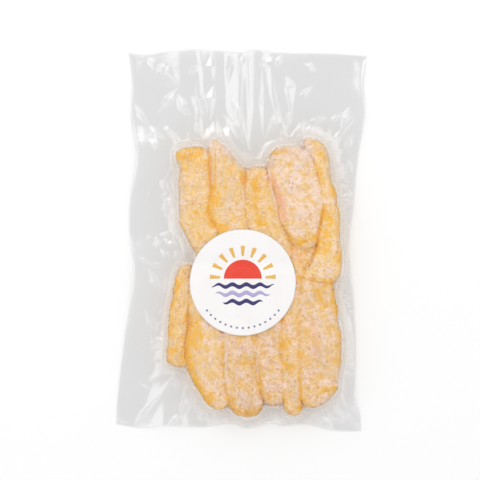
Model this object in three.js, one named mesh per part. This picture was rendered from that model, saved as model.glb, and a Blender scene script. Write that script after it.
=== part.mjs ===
// A vacuum pack of breaded fish fingers, lying flat with its label up.
// Twelve frozen fingers lie side by side in two rows, shut into a clear pouch whose two films
// hug them and meet round them in a wide, creased margin. A round paper label is stuck over
// the place where the rows meet. The pouch and what it holds are one solid, the label another.
// Millimetres. +Z is up, +Y runs to the mouth of the pouch, and the origin is on the table
// under the middle of the outline.

import * as THREE from "three";

// The pouch: how thick its two films are drawn in the margin, how high they meet beside the
// food, and how far round the food that height reaches.
const MARGIN_THICKNESS = 0.8;
const SEAM_HEIGHT = 3.4;
const SEAM_REACH = 8;

// The pouch's outline, as [along, across] pairs: x at heights y for the long sides, y at x for the ends.
const LEFT_SIDE = [
  [-148, -100.4], [-127, -99.6], [-79, -94], [-47, -88.8], [-19, -86.8], [10, -90],
  [33, -89.4], [68, -84.4], [97, -88.4], [128, -87.8], [151, -90.4],
];
const RIGHT_SIDE = [
  [-153, 95.8], [-140, 95.2], [-126, 91.6], [-83, 91.6], [-47, 90], [-6, 86],
  [29, 90], [65, 93.2], [101, 98.8], [125, 97.8], [149, 100.4],
];
const MOUTH_END = [
  [-90, 150.2], [-78, 148.6], [-61, 151], [-41, 152.6], [-16, 151.8], [-1, 150.2],
  [12, 152.6], [27, 150.4], [67, 150], [100, 147.8],
];
const CLOSED_END = [
  [-100, -146.6], [-81, -149.8], [-59, -148.2], [-29, -149], [-8, -145.8], [4, -149.8],
  [24, -145.8], [34, -148.2], [51, -146.6], [69, -151.4], [85, -152.6], [96, -152.2],
];

// How high the middle of the margin lies along those four edges, where it waves off the table.
const LEFT_LIFT = [[-148, 0.8], [-79, 2.6], [-19, 5], [10, 2], [68, 4.4], [97, 2], [151, 0.6]];
const RIGHT_LIFT = [[-153, 1.2], [-126, 4], [-83, 1.8], [-6, 5], [65, 2.2], [101, 3.6], [149, 0.8]];
const MOUTH_LIFT = [
  [-90, 0.6], [-61, 3.4], [-41, 5.2], [-16, 2], [-1, 5], [12, 2.2], [27, 4], [67, 1.6], [100, 0.8],
];
const CLOSED_LIFT = [
  [-100, 0.8], [-81, 1.4], [-59, 4.6], [-29, 1], [-8, 4.4], [4, 0.8], [24, 4.8], [34, 2.2],
  [51, 3.8], [69, 0.8], [96, 1.2],
];

// The lines that the fingers' sides follow, as [y, x] pairs. Neighbours press on each other along
// a groove, and the outermost sides are free.
const SIDES = {
  upperLeft: [
    [-17, -33], [-9, -36.5], [4, -42.5], [14, -48], [44, -48.4], [58, -49.2], [66, -52.5], [72, -53.4], [75, -52],
  ],
  upperOneTwo: [[-17, -14], [10, -19.5], [15, -22.5], [22, -26.2], [41, -24], [59, -25.3], [76, -25.6]],
  upperTwoThree: [[-17, 9], [18, 3], [29, 2], [47, 2.4], [55, 2.6], [61, 0], [68, -6], [78, -13]],
  upperThreeFour: [
    [-17, 43], [-6, 41], [4, 37.5], [14, 33.2], [22, 31], [36, 28.5], [48, 23.4], [60, 20.8], [75, 20.6],
  ],
  upperFourFive: [
    [-36, 49.6], [-28, 50], [-18, 56.2], [-6, 60.2], [10, 61.4], [24, 64.4], [44, 62.5], [60, 58.5],
    [69, 54.5], [82, 47.6],
  ],
  upperRight: [
    [-34, 76.5], [-28, 78], [-16, 79], [4, 78.4], [24, 77], [29, 75], [39, 74.6], [49, 70.4], [61, 69.4],
    [74, 67.6], [82, 65],
  ],
  upperSixLeft: [[-28, 34], [-1, 36]],
  lowerLeft: [[-97, -60.4], [-75, -58], [-52, -55.4], [-29, -52], [-23, -50.8]],
  lowerOneTwo: [
    [-132, -29.6], [-124, -32], [-110, -38.6], [-99, -42], [-81, -43.6], [-69, -41.7], [-46, -40.5], [-23, -38.6],
  ],
  lowerTwoThree: [[-134, -8.6], [-126, -10.8], [-118, -12.8], [-103, -14.2], [-75, -14.2], [-23, -13.5]],
  lowerThreeFour: [[-139, 15.5], [-131, 16], [-122, 15.3], [-110, 12.2], [-98, 10.9], [-75, 9.8], [-23, 11]],
  lowerFourFive: [[-136, 36], [-130, 34.9], [-115, 32.2], [-87, 31.5], [-63, 31.5], [-23, 31]],
  lowerFiveSix: [[-136, 47.4], [-126, 46.8], [-98, 46.4], [-30, 47]],
  lowerRight: [
    [-131, 71], [-118, 76], [-110, 75.4], [-92, 78.4], [-75, 78.8], [-69, 77.2], [-38, 74], [-32, 73],
  ],
};

// How far a side would round out past its line, as [y, distance] pairs, if no neighbour held it.
const HELD = [[0, 2.6], [1, 2.6]];
const FREE = [[0, 0], [1, 0]];
const HELD_BELOW_TIP = [[52, 2.6], [62, 0]];
const HELD_ABOVE_TIP = [[-106, 0], [-96, 2.6]];

// The fingers: the y of the lower and upper tip, the left and right side, and the power that squares
// the tips off.
const FINGERS = [
  { ends: [-20, 74.8], sides: [SIDES.upperLeft, SIDES.upperOneTwo], spread: [FREE, HELD], thickness: 15.5, blunt: 14 },
  {
    ends: [-21, 79.8], sides: [SIDES.upperOneTwo, SIDES.upperTwoThree], spread: [HELD, HELD_BELOW_TIP],
    thickness: 16.5, blunt: 7,
  },
  { ends: [-20, 59.6], sides: [SIDES.upperTwoThree, SIDES.upperThreeFour], spread: [HELD, HELD], thickness: 15, blunt: 8 },
  {
    ends: [-7, 75.2], sides: [SIDES.upperThreeFour, SIDES.upperFourFive], spread: [HELD_BELOW_TIP, HELD],
    thickness: 18.5, blunt: 8,
  },
  { ends: [-37.5, 82], sides: [SIDES.upperFourFive, SIDES.upperRight], spread: [HELD, FREE], thickness: 16, blunt: 12 },
  { ends: [-36, -1], sides: [SIDES.upperSixLeft, SIDES.upperFourFive], spread: [FREE, HELD], thickness: 13, blunt: 10 },
  { ends: [-99.8, -19], sides: [SIDES.lowerLeft, SIDES.lowerOneTwo], spread: [FREE, HELD], thickness: 12.5, blunt: 14 },
  {
    ends: [-134, -18], sides: [SIDES.lowerOneTwo, SIDES.lowerTwoThree], spread: [HELD_ABOVE_TIP, HELD],
    thickness: 16.5, blunt: 9,
  },
  { ends: [-139.4, -17], sides: [SIDES.lowerTwoThree, SIDES.lowerThreeFour], spread: [HELD, HELD], thickness: 17, blunt: 10 },
  { ends: [-130.8, -17], sides: [SIDES.lowerThreeFour, SIDES.lowerFourFive], spread: [HELD, HELD], thickness: 16, blunt: 10 },
  { ends: [-137.6, -20], sides: [SIDES.lowerFourFive, SIDES.lowerFiveSix], spread: [HELD, HELD], thickness: 15, blunt: 10 },
  { ends: [-132, -26], sides: [SIDES.lowerFiveSix, SIDES.lowerRight], spread: [HELD, FREE], thickness: 17, blunt: 10 },
];
const WIDEST_LEVEL = 0.45; // of a finger's thickness
const TOP_SQUARENESS = 2.8;
const BOTTOM_SQUARENESS = 4;
const RESTING_FLAT = 0.5; // pressed off each finger's underside by the table
const CRUMB_RELIEF = 0.8;

// The label, round and a little stiff, so that it bridges the grooves between the fingers. The film
// is pressed flat under it and a little way past its border.
const LABEL = {
  x: 1, y: -33, radius: 42, thickness: 0.5, gap: 0.35, border: 4, bridging: 7, stiffness: 8,
};

// The large folds of the margin: from [x, y] to [x, y], height and half width.
const FOLDS = [
  { from: [7, 69], to: [-9, 114], height: 1.7, width: 4 },
  { from: [18, 79], to: [31, 108], height: 1.7, width: 4 },
  { from: [40, 98], to: [35, 133], height: 1.9, width: 4 },
  { from: [37, 80], to: [54, 97], height: 1.2, width: 3.4 },
  { from: [87, 108], to: [79, 86], height: 1.4, width: 4 },
  { from: [-24, 152], to: [-23, 126], height: 1.6, width: 4.4 },
  { from: [-67, 100], to: [-50, 122], height: 1.4, width: 4.8 },
  { from: [-52, 119], to: [-40, 96], height: 1.5, width: 4.4 },
  { from: [-26, 91], to: [-41, 118], height: 1.5, width: 4 },
  { from: [-26, 91], to: [-22, 126], height: 1.6, width: 4.4 },
  { from: [-88, 113], to: [-73, 89], height: 1.1, width: 3.4 },
  { from: [-66, 52], to: [-55, 31], height: 1.3, width: 4 },
  { from: [-64, 2], to: [-49, -6], height: 1.2, width: 3.6 },
  { from: [-74, -18], to: [-68, -38], height: 1.4, width: 4 },
  { from: [-59, -116], to: [-86, -148], height: 2.1, width: 5 },
  { from: [-44, -114], to: [-49, -142], height: 1.7, width: 4.6 },
  { from: [-39, -112], to: [-22, -142], height: 1.6, width: 4.6 },
  { from: [58, -135], to: [74, -152], height: 1.3, width: 4 },
];

// How the films lie: the fall of a stretched film, in millimetres per square millimetre,
// under the vacuum, worked out on a square lattice of cells.
const FILM_FALL = 0.7;
const CELL = 1.5;
const SWEEPS = 60;
const COLUMNS = 140;
const ROWS = 210;

// How finely the solids are faceted, closer over the food than in the margin. The fractions
// give the pouch's width and length that the food takes.
const ACROSS = { cells: [6, 40, 4], until: [0.15, 0.92] };
const ALONG = { cells: [4, 40, 11], until: [0.045, 0.78] };
const LABEL_RINGS = 6;
const LABEL_SEGMENTS = 48;

// The value at a place on a smooth curve through [place, value] knots, level past both ends.
function through(knots, place) {
  const last = knots.length - 1;
  if (place <= knots[0][0]) return knots[0][1];
  if (place >= knots[last][0]) return knots[last][1];
  const i = knots.findIndex((knot) => knot[0] > place) - 1;
  const slope = (k) => {
    const before = knots[Math.max(k - 1, 0)];
    const after = knots[Math.min(k + 1, last)];
    return (after[1] - before[1]) / (after[0] - before[0]);
  };
  const [start, end] = [knots[i], knots[i + 1]];
  const span = end[0] - start[0];
  const t = (place - start[0]) / span;
  const rise = t * t * (3 - 2 * t);
  return (
    start[1] * (1 - rise) + end[1] * rise +
    slope(i) * span * t * (1 - t) * (1 - t) - slope(i + 1) * span * t * t * (1 - t)
  );
}

// A rounded section, 1 in the middle and 0 at the edge, the squarer the higher its power.
function crown(share, power) {
  return Math.pow(Math.max(0, 1 - Math.pow(Math.abs(share), power)), 1 / power);
}

// How full a finger is at [x, y]: its share of the section and of the length, or null outside it.
function withinFinger(finger, x, y) {
  const [low, high] = finger.ends;
  const share = (y - low) / (high - low);
  if (share <= 0 || share >= 1) return null;
  const tip = Math.sqrt(1 - Math.pow(Math.abs(2 * share - 1), finger.blunt));
  const left = through(finger.sides[0], y) - through(finger.spread[0], y);
  const right = through(finger.sides[1], y) + through(finger.spread[1], y);
  const across = (x - (left + right) / 2) / (0.5 * (right - left) * tip);
  return Math.abs(across) < 1 ? { across, tip: Math.sqrt(tip) } : null;
}

// Low lumps of the crumb coating.
function crumbs(x, y) {
  const slow = Math.sin(0.31 * x + 1.7 * Math.sin(0.13 * y)) * Math.sin(0.27 * y + 0.8);
  const quick = Math.sin(0.83 * x + 0.4 * y) * Math.sin(0.61 * y - 0.5 * x);
  return CRUMB_RELIEF * (0.7 * slow + 0.3 * quick);
}

// Height of the food's upper side at [x, y], 0 where there is none.
function foodTop(x, y) {
  let height = 0;
  for (const finger of FINGERS) {
    const at = withinFinger(finger, x, y);
    if (!at) continue;
    const level = WIDEST_LEVEL * finger.thickness;
    const rise = (finger.thickness - level) * crown(at.across, TOP_SQUARENESS) * at.tip;
    height = Math.max(height, level + rise + crumbs(x, y));
  }
  return height;
}

// Height of the food's underside at [x, y], flat where it rests, Infinity where there is none.
function foodBottom(x, y) {
  let height = Infinity;
  for (const finger of FINGERS) {
    const at = withinFinger(finger, x, y);
    if (!at) continue;
    const level = WIDEST_LEVEL * finger.thickness;
    const drop = (level + RESTING_FLAT) * crown(at.across, BOTTOM_SQUARENESS) * at.tip;
    height = Math.min(height, Math.max(0, level - drop));
  }
  return height;
}

// Height that the folds add to the margin at [x, y].
function folds(x, y) {
  let height = 0;
  for (const fold of FOLDS) {
    const [runX, runY] = [fold.to[0] - fold.from[0], fold.to[1] - fold.from[1]];
    const length = Math.hypot(runX, runY);
    const along = ((x - fold.from[0]) * runX + (y - fold.from[1]) * runY) / (length * length);
    const aside = ((x - fold.from[0]) * runY - (y - fold.from[1]) * runX) / length;
    const fade = THREE.MathUtils.smoothstep(1.15 - Math.abs(2 * along - 1), 0, 0.5);
    height += fold.height * fade * Math.exp(-Math.pow(aside / fold.width, 2));
  }
  return height;
}

// Height of the margin away from the food: the four edges' lifts, each weighing more near its edge.
function edgeLevel(x, y) {
  const sides = [
    [x - through(LEFT_SIDE, y), through(LEFT_LIFT, y)],
    [through(RIGHT_SIDE, y) - x, through(RIGHT_LIFT, y)],
    [y - through(CLOSED_END, x), through(CLOSED_LIFT, x)],
    [through(MOUTH_END, x) - y, through(MOUTH_LIFT, x)],
  ];
  const weights = sides.map(([distance]) => 1 / Math.pow(Math.max(distance, 0) + 3, 2));
  const total = weights.reduce((sum, weight) => sum + weight, 0);
  return sides.reduce((sum, [, lift], i) => sum + (lift * weights[i]) / total, 0);
}

// A field is one number for each lattice point, row after row.
const latticeX = (column) => (column - COLUMNS / 2) * CELL;
const latticeY = (row) => (row - ROWS / 2) * CELL;

function field(valueAt) {
  const values = new Float64Array((COLUMNS + 1) * (ROWS + 1));
  for (let row = 0; row <= ROWS; row++)
    for (let column = 0; column <= COLUMNS; column++)
      values[row * (COLUMNS + 1) + column] = valueAt(
        latticeX(column), latticeY(row), row * (COLUMNS + 1) + column,
      );
  return values;
}

// A field smoothed by a bell curve of that reach, in millimetres, along rows and then columns.
function smoothed(values, reach) {
  const half = Math.ceil((2.5 * reach) / CELL);
  const bell = Array.from({ length: 2 * half + 1 }, (_, i) =>
    Math.exp(-0.5 * Math.pow(((i - half) * CELL) / reach, 2)),
  );
  const total = bell.reduce((sum, weight) => sum + weight, 0);
  const pass = (from, stepColumn, stepRow) => {
    const to = new Float64Array(from.length);
    for (let row = 0; row <= ROWS; row++)
      for (let column = 0; column <= COLUMNS; column++) {
        let sum = 0;
        bell.forEach((weight, i) => {
          const c = THREE.MathUtils.clamp(column + (i - half) * stepColumn, 0, COLUMNS);
          const r = THREE.MathUtils.clamp(row + (i - half) * stepRow, 0, ROWS);
          sum += weight * from[r * (COLUMNS + 1) + c];
        });
        to[row * (COLUMNS + 1) + column] = sum / total;
      }
    return to;
  };
  return pass(pass(values, 1, 0), 0, 1);
}

// The value of a field at [x, y], between its four nearest lattice points.
function sampled(values, x, y) {
  const u = THREE.MathUtils.clamp(x / CELL + COLUMNS / 2, 0, COLUMNS - 1e-9);
  const v = THREE.MathUtils.clamp(y / CELL + ROWS / 2, 0, ROWS - 1e-9);
  const [column, row] = [Math.floor(u), Math.floor(v)];
  const at = row * (COLUMNS + 1) + column;
  const lower = THREE.MathUtils.lerp(values[at], values[at + 1], u - column);
  const upper = THREE.MathUtils.lerp(
    values[at + COLUMNS + 1], values[at + COLUMNS + 2], u - column,
  );
  return THREE.MathUtils.lerp(lower, upper, v - row);
}

// A film drawn down over what it covers. It never sinks below that, and falls between its high places.
function drawnOver(covered, held) {
  const film = covered.slice();
  const fall = (FILM_FALL * CELL * CELL) / 4;
  const width = COLUMNS + 1;
  for (let sweep = 0; sweep < SWEEPS; sweep++)
    for (let row = 1; row < ROWS; row++)
      for (let column = 1; column < COLUMNS; column++) {
        const at = row * width + column;
        if (held[at]) continue;
        const mean = (film[at - 1] + film[at + 1] + film[at - width] + film[at + width]) / 4;
        film[at] = Math.max(covered[at], mean - fall);
      }
  return film;
}

const onLabel = (x, y) => Math.hypot(x - LABEL.x, y - LABEL.y) < LABEL.radius + LABEL.border;

// The food's upper side, and the label's underside: a smooth surface near the highest food
// within the label's bridging distance.
const food = field(foodTop);
const raised = smoothed(food.map((height) => Math.pow(height, LABEL.stiffness)), LABEL.bridging);
const labelLevel = raised.map((sum) => Math.pow(sum, 1 / LABEL.stiffness));

// The margin's middle: its edges' level far from the food and the seam's height beside it.
const closeness = smoothed(food.map((height) => (height > 0 ? 1 : 0)), SEAM_REACH);
const margin = field((x, y, i) => {
  const near = THREE.MathUtils.smoothstep(closeness[i], 0, 0.45);
  return THREE.MathUtils.lerp(edgeLevel(x, y), SEAM_HEIGHT, near) + folds(x, y) * (1 - near * 0.6);
});

// The two films. The upper one is held against the label, and the lower one lies on the table.
const halfMargin = MARGIN_THICKNESS / 2;
const stuck = field(onLabel);
const upperFilm = drawnOver(
  food.map((height, i) =>
    stuck[i] ? labelLevel[i] - LABEL.gap : Math.max(height, margin[i] + halfMargin),
  ),
  stuck,
);
const lowerFilm = drawnOver(
  field((x, y, i) => -Math.min(foodBottom(x, y), Math.max(0, margin[i] - halfMargin))),
  field(() => 0),
).map((height) => Math.max(0, -height));

// Shares from 0 to 1 for grid lines, spaced evenly within each of three stretches.
function gridLines({ cells, until }) {
  const stops = [0, ...until, 1];
  return [0].concat(
    ...cells.map((count, i) =>
      Array.from({ length: count }, (_, k) =>
        THREE.MathUtils.lerp(stops[i], stops[i + 1], (k + 1) / count),
      ),
    ),
  );
}

// The place in the outline that lies those shares of the way across and along it.
function withinOutline(across, along) {
  let [x, y] = [0, 0];
  for (let round = 0; round < 8; round++) {
    y = THREE.MathUtils.lerp(through(CLOSED_END, x), through(MOUTH_END, x), along);
    x = THREE.MathUtils.lerp(through(LEFT_SIDE, y), through(RIGHT_SIDE, y), across);
  }
  return [x, y];
}

// A closed mesh from vertices, as [x, y, z], and triangles, as three vertex numbers each.
function solid(name, vertices, triangles, material) {
  const geometry = new THREE.BufferGeometry();
  geometry.setAttribute("position", new THREE.Float32BufferAttribute(vertices.flat(), 3));
  geometry.setIndex(triangles.flat());
  geometry.computeVertexNormals();
  const mesh = new THREE.Mesh(geometry, material);
  mesh.name = name;
  return mesh;
}

// The pouch and its food: the upper film, the lower film and the thin edge that joins them.
function pouch() {
  const across = gridLines(ACROSS);
  const along = gridLines(ALONG);
  const places = along.flatMap((t) => across.map((s) => withinOutline(s, t)));
  const upper = places.map(([x, y]) => [x, y, sampled(upperFilm, x, y)]);
  const lower = places.map(([x, y], i) => {
    const height = sampled(lowerFilm, x, y);
    return [x, y, Math.max(0, Math.min(height, upper[i][2] - MARGIN_THICKNESS))];
  });
  const width = across.length;
  const triangles = [];
  for (let row = 0; row + 1 < along.length; row++)
    for (let column = 0; column + 1 < width; column++) {
      const a = row * width + column;
      const corners = [a, a + 1, a + width + 1, a + width];
      const [p, q, r, s] = corners;
      triangles.push([p, q, r], [p, r, s]);
      const [pl, ql, rl, sl] = corners.map((corner) => corner + places.length);
      triangles.push([pl, rl, ql], [pl, sl, rl]);
    }
  const rim = [
    ...across.map((_, i) => i),
    ...along.slice(1).map((_, i) => (i + 2) * width - 1),
    ...across.slice(1).map((_, i) => along.length * width - 2 - i),
    ...along.slice(1, -1).map((_, i) => (along.length - 2 - i) * width),
  ];
  rim.forEach((a, i) => {
    const b = rim[(i + 1) % rim.length];
    triangles.push([a, a + places.length, b + places.length], [a, b + places.length, b]);
  });
  const film = new THREE.MeshStandardMaterial({ color: 0xe9c48f, roughness: 0.35, metalness: 0 });
  return solid("pouch", upper.concat(lower), triangles, film);
}

// The label: a thin round sheet that follows the film below it.
function label() {
  const places = [[LABEL.x, LABEL.y]];
  for (let ring = 1; ring <= LABEL_RINGS; ring++)
    for (let segment = 0; segment < LABEL_SEGMENTS; segment++) {
      const angle = (2 * Math.PI * segment) / LABEL_SEGMENTS;
      const radius = (LABEL.radius * ring) / LABEL_RINGS;
      places.push([LABEL.x + radius * Math.cos(angle), LABEL.y + radius * Math.sin(angle)]);
    }
  const face = [];
  for (let segment = 0; segment < LABEL_SEGMENTS; segment++) {
    const next = (segment + 1) % LABEL_SEGMENTS;
    face.push([0, 1 + segment, 1 + next]);
    for (let ring = 1; ring < LABEL_RINGS; ring++) {
      const [inner, outer] = [1 + (ring - 1) * LABEL_SEGMENTS, 1 + ring * LABEL_SEGMENTS];
      face.push([inner + segment, outer + segment, outer + next]);
      face.push([inner + segment, outer + next, inner + next]);
    }
  }
  const under = face.map(([a, b, c]) => [a, c, b].map((corner) => corner + places.length));
  const edge = [];
  const outer = 1 + (LABEL_RINGS - 1) * LABEL_SEGMENTS;
  for (let segment = 0; segment < LABEL_SEGMENTS; segment++) {
    const a = outer + segment;
    const b = outer + ((segment + 1) % LABEL_SEGMENTS);
    edge.push([a, a + places.length, b + places.length], [a, b + places.length, b]);
  }
  const lift = (height) => places.map(([x, y]) => [x, y, sampled(labelLevel, x, y) + height]);
  const paper = new THREE.MeshStandardMaterial({ color: 0xfbf9f7, roughness: 0.55, metalness: 0 });
  return solid("label", lift(LABEL.thickness).concat(lift(0)), [...face, ...under, ...edge], paper);
}

const pack = new THREE.Group();
pack.add(pouch(), label());

export default pack;
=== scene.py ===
import itertools

import bpy
import numpy as np
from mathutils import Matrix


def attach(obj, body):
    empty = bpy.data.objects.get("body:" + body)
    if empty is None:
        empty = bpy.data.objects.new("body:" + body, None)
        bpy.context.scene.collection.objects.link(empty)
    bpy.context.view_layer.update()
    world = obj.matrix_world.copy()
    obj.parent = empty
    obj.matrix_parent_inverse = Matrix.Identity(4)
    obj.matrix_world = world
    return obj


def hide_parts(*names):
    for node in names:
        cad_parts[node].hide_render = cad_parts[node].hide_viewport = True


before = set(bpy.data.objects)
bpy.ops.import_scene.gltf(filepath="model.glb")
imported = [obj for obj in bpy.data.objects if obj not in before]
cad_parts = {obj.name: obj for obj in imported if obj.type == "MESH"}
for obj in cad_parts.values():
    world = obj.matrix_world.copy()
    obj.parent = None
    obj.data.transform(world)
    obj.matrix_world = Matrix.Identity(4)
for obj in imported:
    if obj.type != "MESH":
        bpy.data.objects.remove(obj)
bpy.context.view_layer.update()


# The breaded fingers: twelve strips of fish in fine golden breadcrumb, frozen hard, lying side
# by side in two rows. Each is rounded on top and flat where it rests, and neighbours have pressed
# on each other along shared grooves.
MM = 0.001  # in metres, as meshes have them
SIDES = {  # the lines that the sides of the fingers follow, as [y, x] pairs
    "upper_left": (
        (-17, -33), (-9, -36.5), (4, -42.5), (14, -48), (44, -48.4), (58, -49.2), (66, -52.5), (72, -53.4),
        (75, -52),
    ),
    "upper_1_2": ((-17, -14), (10, -19.5), (15, -22.5), (22, -26.2), (41, -24), (59, -25.3), (76, -25.6)),
    "upper_2_3": ((-17, 9), (18, 3), (29, 2), (47, 2.4), (55, 2.6), (61, 0), (68, -6), (78, -13)),
    "upper_3_4": (
        (-17, 43), (-6, 41), (4, 37.5), (14, 33.2), (22, 31), (36, 28.5), (48, 23.4), (60, 20.8), (75, 20.6),
    ),
    "upper_4_5": (
        (-36, 49.6), (-28, 50), (-18, 56.2), (-6, 60.2), (10, 61.4), (24, 64.4), (44, 62.5), (60, 58.5),
        (69, 54.5), (82, 47.6),
    ),
    "upper_right": (
        (-34, 76.5), (-28, 78), (-16, 79), (4, 78.4), (24, 77), (29, 75), (39, 74.6), (49, 70.4), (61, 69.4),
        (74, 67.6), (82, 65),
    ),
    "upper_6_left": ((-28, 34), (-1, 36)),
    "lower_left": ((-97, -60.4), (-75, -58), (-52, -55.4), (-29, -52), (-23, -50.8)),
    "lower_1_2": (
        (-132, -29.6), (-124, -32), (-110, -38.6), (-99, -42), (-81, -43.6), (-69, -41.7), (-46, -40.5),
        (-23, -38.6),
    ),
    "lower_2_3": ((-134, -8.6), (-126, -10.8), (-118, -12.8), (-103, -14.2), (-75, -14.2), (-23, -13.5)),
    "lower_3_4": ((-139, 15.5), (-131, 16), (-122, 15.3), (-110, 12.2), (-98, 10.9), (-75, 9.8), (-23, 11)),
    "lower_4_5": ((-136, 36), (-130, 34.9), (-115, 32.2), (-87, 31.5), (-63, 31.5), (-23, 31)),
    "lower_5_6": ((-136, 47.4), (-126, 46.8), (-98, 46.4), (-30, 47)),
    "lower_right": (
        (-131, 71), (-118, 76), (-110, 75.4), (-92, 78.4), (-75, 78.8), (-69, 77.2), (-38, 74), (-32, 73),
    ),
}
ROW_LINE = ((-60, -19.5), (30, -19.5), (44, -28), (50, -31.5), (62, -34.2), (82, -35.5))  # y at x
# How far a side would round out past its line, as [y, distance] pairs, if no neighbour held it.
HELD = ((0, 2.6), (1, 2.6))
FREE = ((0, 0), (1, 0))
HELD_BELOW_TIP = ((52, 2.6), (62, 0))
HELD_ABOVE_TIP = ((-106, 0), (-96, 2.6))
# For each finger: the y of its lower and upper tip, its two sides and their spreads, its
# thickness, the power that squares its tips off, how much pale flour clings to it, and how many
# of its crumbs are toasted brown. The lower row's higher shares darken that row, partly as toasted
# crumb and partly as painted shade, for light that falls off towards the closed end.
FINGERS = {
    "upper_1": ((-20, 74.8), ("upper_left", "upper_1_2"), (FREE, HELD), 15.5, 14, 0.35, 0.15),
    "upper_2": ((-21, 79.8), ("upper_1_2", "upper_2_3"), (HELD, HELD_BELOW_TIP), 16.5, 7, 0.4, 0.2),
    "upper_3": ((-20, 59.6), ("upper_2_3", "upper_3_4"), (HELD, HELD), 15, 8, 0.3, 0.2),
    "upper_4": ((-7, 75.2), ("upper_3_4", "upper_4_5"), (HELD_BELOW_TIP, HELD), 18.5, 8, 0.8, 0.2),
    "upper_5": ((-37.5, 82), ("upper_4_5", "upper_right"), (HELD, FREE), 16, 12, 0.35, 0.05),
    "upper_6": ((-36, -1), ("upper_6_left", "upper_4_5"), (FREE, HELD), 13, 10, 0.45, 0.1),
    "lower_1": ((-99.8, -19), ("lower_left", "lower_1_2"), (FREE, HELD), 12.5, 14, 0.15, 0.2),
    "lower_2": ((-134, -18), ("lower_1_2", "lower_2_3"), (HELD_ABOVE_TIP, HELD), 16.5, 9, 0.5, 0.3),
    "lower_3": ((-139.4, -17), ("lower_2_3", "lower_3_4"), (HELD, HELD), 17, 10, 0.6, 0.75),
    "lower_4": ((-130.8, -17), ("lower_3_4", "lower_4_5"), (HELD, HELD), 16, 10, 0.7, 0.7),
    "lower_5": ((-137.6, -20), ("lower_4_5", "lower_5_6"), (HELD, HELD), 15, 10, 0.4, 0.4),
    "lower_6": ((-132, -26), ("lower_5_6", "lower_right"), (HELD, FREE), 17, 10, 0.6, 0.5),
}
BARE = (  # strokes with less flour, deeper in colour: from [x, y] to [x, y], half width, how bare
    ((-50, 67), (-34, 71), 4.5, 0.9), ((-23.6, 64), (-24, 40), 3.4, 0.9), ((-25, 34), (-24.6, 16), 3.4, 0.9),
    ((-24, 14), (-15, 10), 4.5, 0.9), ((1.5, 51), (2, 46), 2.6, 1.1), ((10, 47), (12, 40), 2.2, 0.9),
    ((8, 36), (16, 16), 3.4, 0.6), ((23, 70), (34, 73), 3.5, 0.7), ((37, 4), (44, 0), 3.4, 1.0),
    ((46, -2), (58, 3), 3, 1.0),
    ((72, 46), (73, 36), 3, 0.9), ((76, 30), (77.5, -16), 2.4, 0.7), ((70, 20), (66, -4), 5, 0.5),
    ((64.6, 24), (61.6, 8), 1.5, 1.2), ((61.6, 8), (59.8, -6), 1.5, 1.2), ((59.8, -6), (49, -24), 1.4, 0.9),
    ((56, -30), (74, -33), 3, 0.7), ((-56, -30), (-57, -92), 6, 0.55), ((-41.8, -60), (-42, -92), 4.4, 1.1),
    ((-40, -98), (-30.5, -126), 3.6, 1.1), ((-36, -60), (-37, -84), 3.4, 0.8),
    ((-28, -124), (-26, -130), 4.4, 1.1),
    ((-8, -134), (14, -137), 3.2, 0.9), ((14, -98), (16, -122), 2.2, 0.7), ((33, -84), (38, -104), 3, 0.7),
    ((46.6, -98), (46.8, -126), 1.5, 0.4), ((58, -40), (67, -52), 3.2, 0.8), ((73, -36), (75, -56), 2.6, 0.9),
    ((77, -72), (77, -98), 3, 0.8), ((64, -118), (76, -119), 2.2, 0.9),
)
REDDISH = (  # the same for fish that shows through, pinkish orange
    ((24, 50), (30, 36), 3.2, 0.9), ((30, 36), (34, 18), 3.4, 1.0), ((40, -6), (46, -16), 3, 0.6),
    ((2, 50), (2.4, 46), 2.4, 0.6), ((-25, 62), (-24.4, 46), 2, 0.5), ((30, -50), (34, -66), 3, 0.5),
    ((57, -66), (59, -92), 3.2, 0.5),
)
WIDEST_LEVEL = 0.45  # of a finger's thickness
TOP_SQUARENESS = 2.8
BOTTOM_SQUARENESS = 4
RESTING_FLAT = 0.5  # pressed off each underside by the table
CONTACT_OVERLAP = 0.8  # by which the crumb of each finger merges with its neighbour's
GROOVE_REACH = 2.2
FILM_UNDER = 0.15  # the film that lies between a finger and the table
FINGER_STEPS = (210, 120)  # along and around
SECTION_POINTS = 4001  # from which the evenly spaced ones are picked
NO_NEIGHBOUR = 999  # farther off than any side
PRESSED_WITHIN = 0.6  # where a neighbour has moved the side this far, the crumb is flat
LUMPS = ((21, 1.1, 1), (9, 0.8, 2), (4.4, 0.45, 5))  # size, height and seed of the uneven forming
GRAINS = ((3.0, 0.45, 3), (1.5, 0.3, 4))  # the same for the pressed crumbs
NUMBERS = 4096  # random ones that a noise picks from, a power of two
CORNER_KEYS = (73856093, 19349663, 83492791)  # primes that mix a corner's three indices
# The crumb is made paler over this band of the shoulders, as painted light.
RIM_LIGHT_BAND = (-0.05, 0.25, 0.4, 0.75)  # the normal's upward part where the rim starts, is full, fades, ends


def through(knots, place):
    """The smooth curve through [place, value] knots: on each span a cubic whose slope at a knot is
    that of the line between its two neighbours, level past both ends."""
    at, value = np.array(knots, float).T
    slope = np.empty_like(value)
    slope[1:-1] = (value[2:] - value[:-2]) / (at[2:] - at[:-2])
    slope[0] = (value[1] - value[0]) / (at[1] - at[0])
    slope[-1] = (value[-1] - value[-2]) / (at[-1] - at[-2])
    place = np.clip(place, at[0], at[-1])
    i = np.clip(np.searchsorted(at, place, side="right") - 1, 0, len(at) - 2)
    span = at[i + 1] - at[i]
    t = (place - at[i]) / span
    rise = t * t * (3 - 2 * t)
    cubic = value[i] * (1 - rise) + value[i + 1] * rise
    return cubic + span * t * (1 - t) * (slope[i] * (1 - t) - slope[i + 1] * t)


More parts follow.
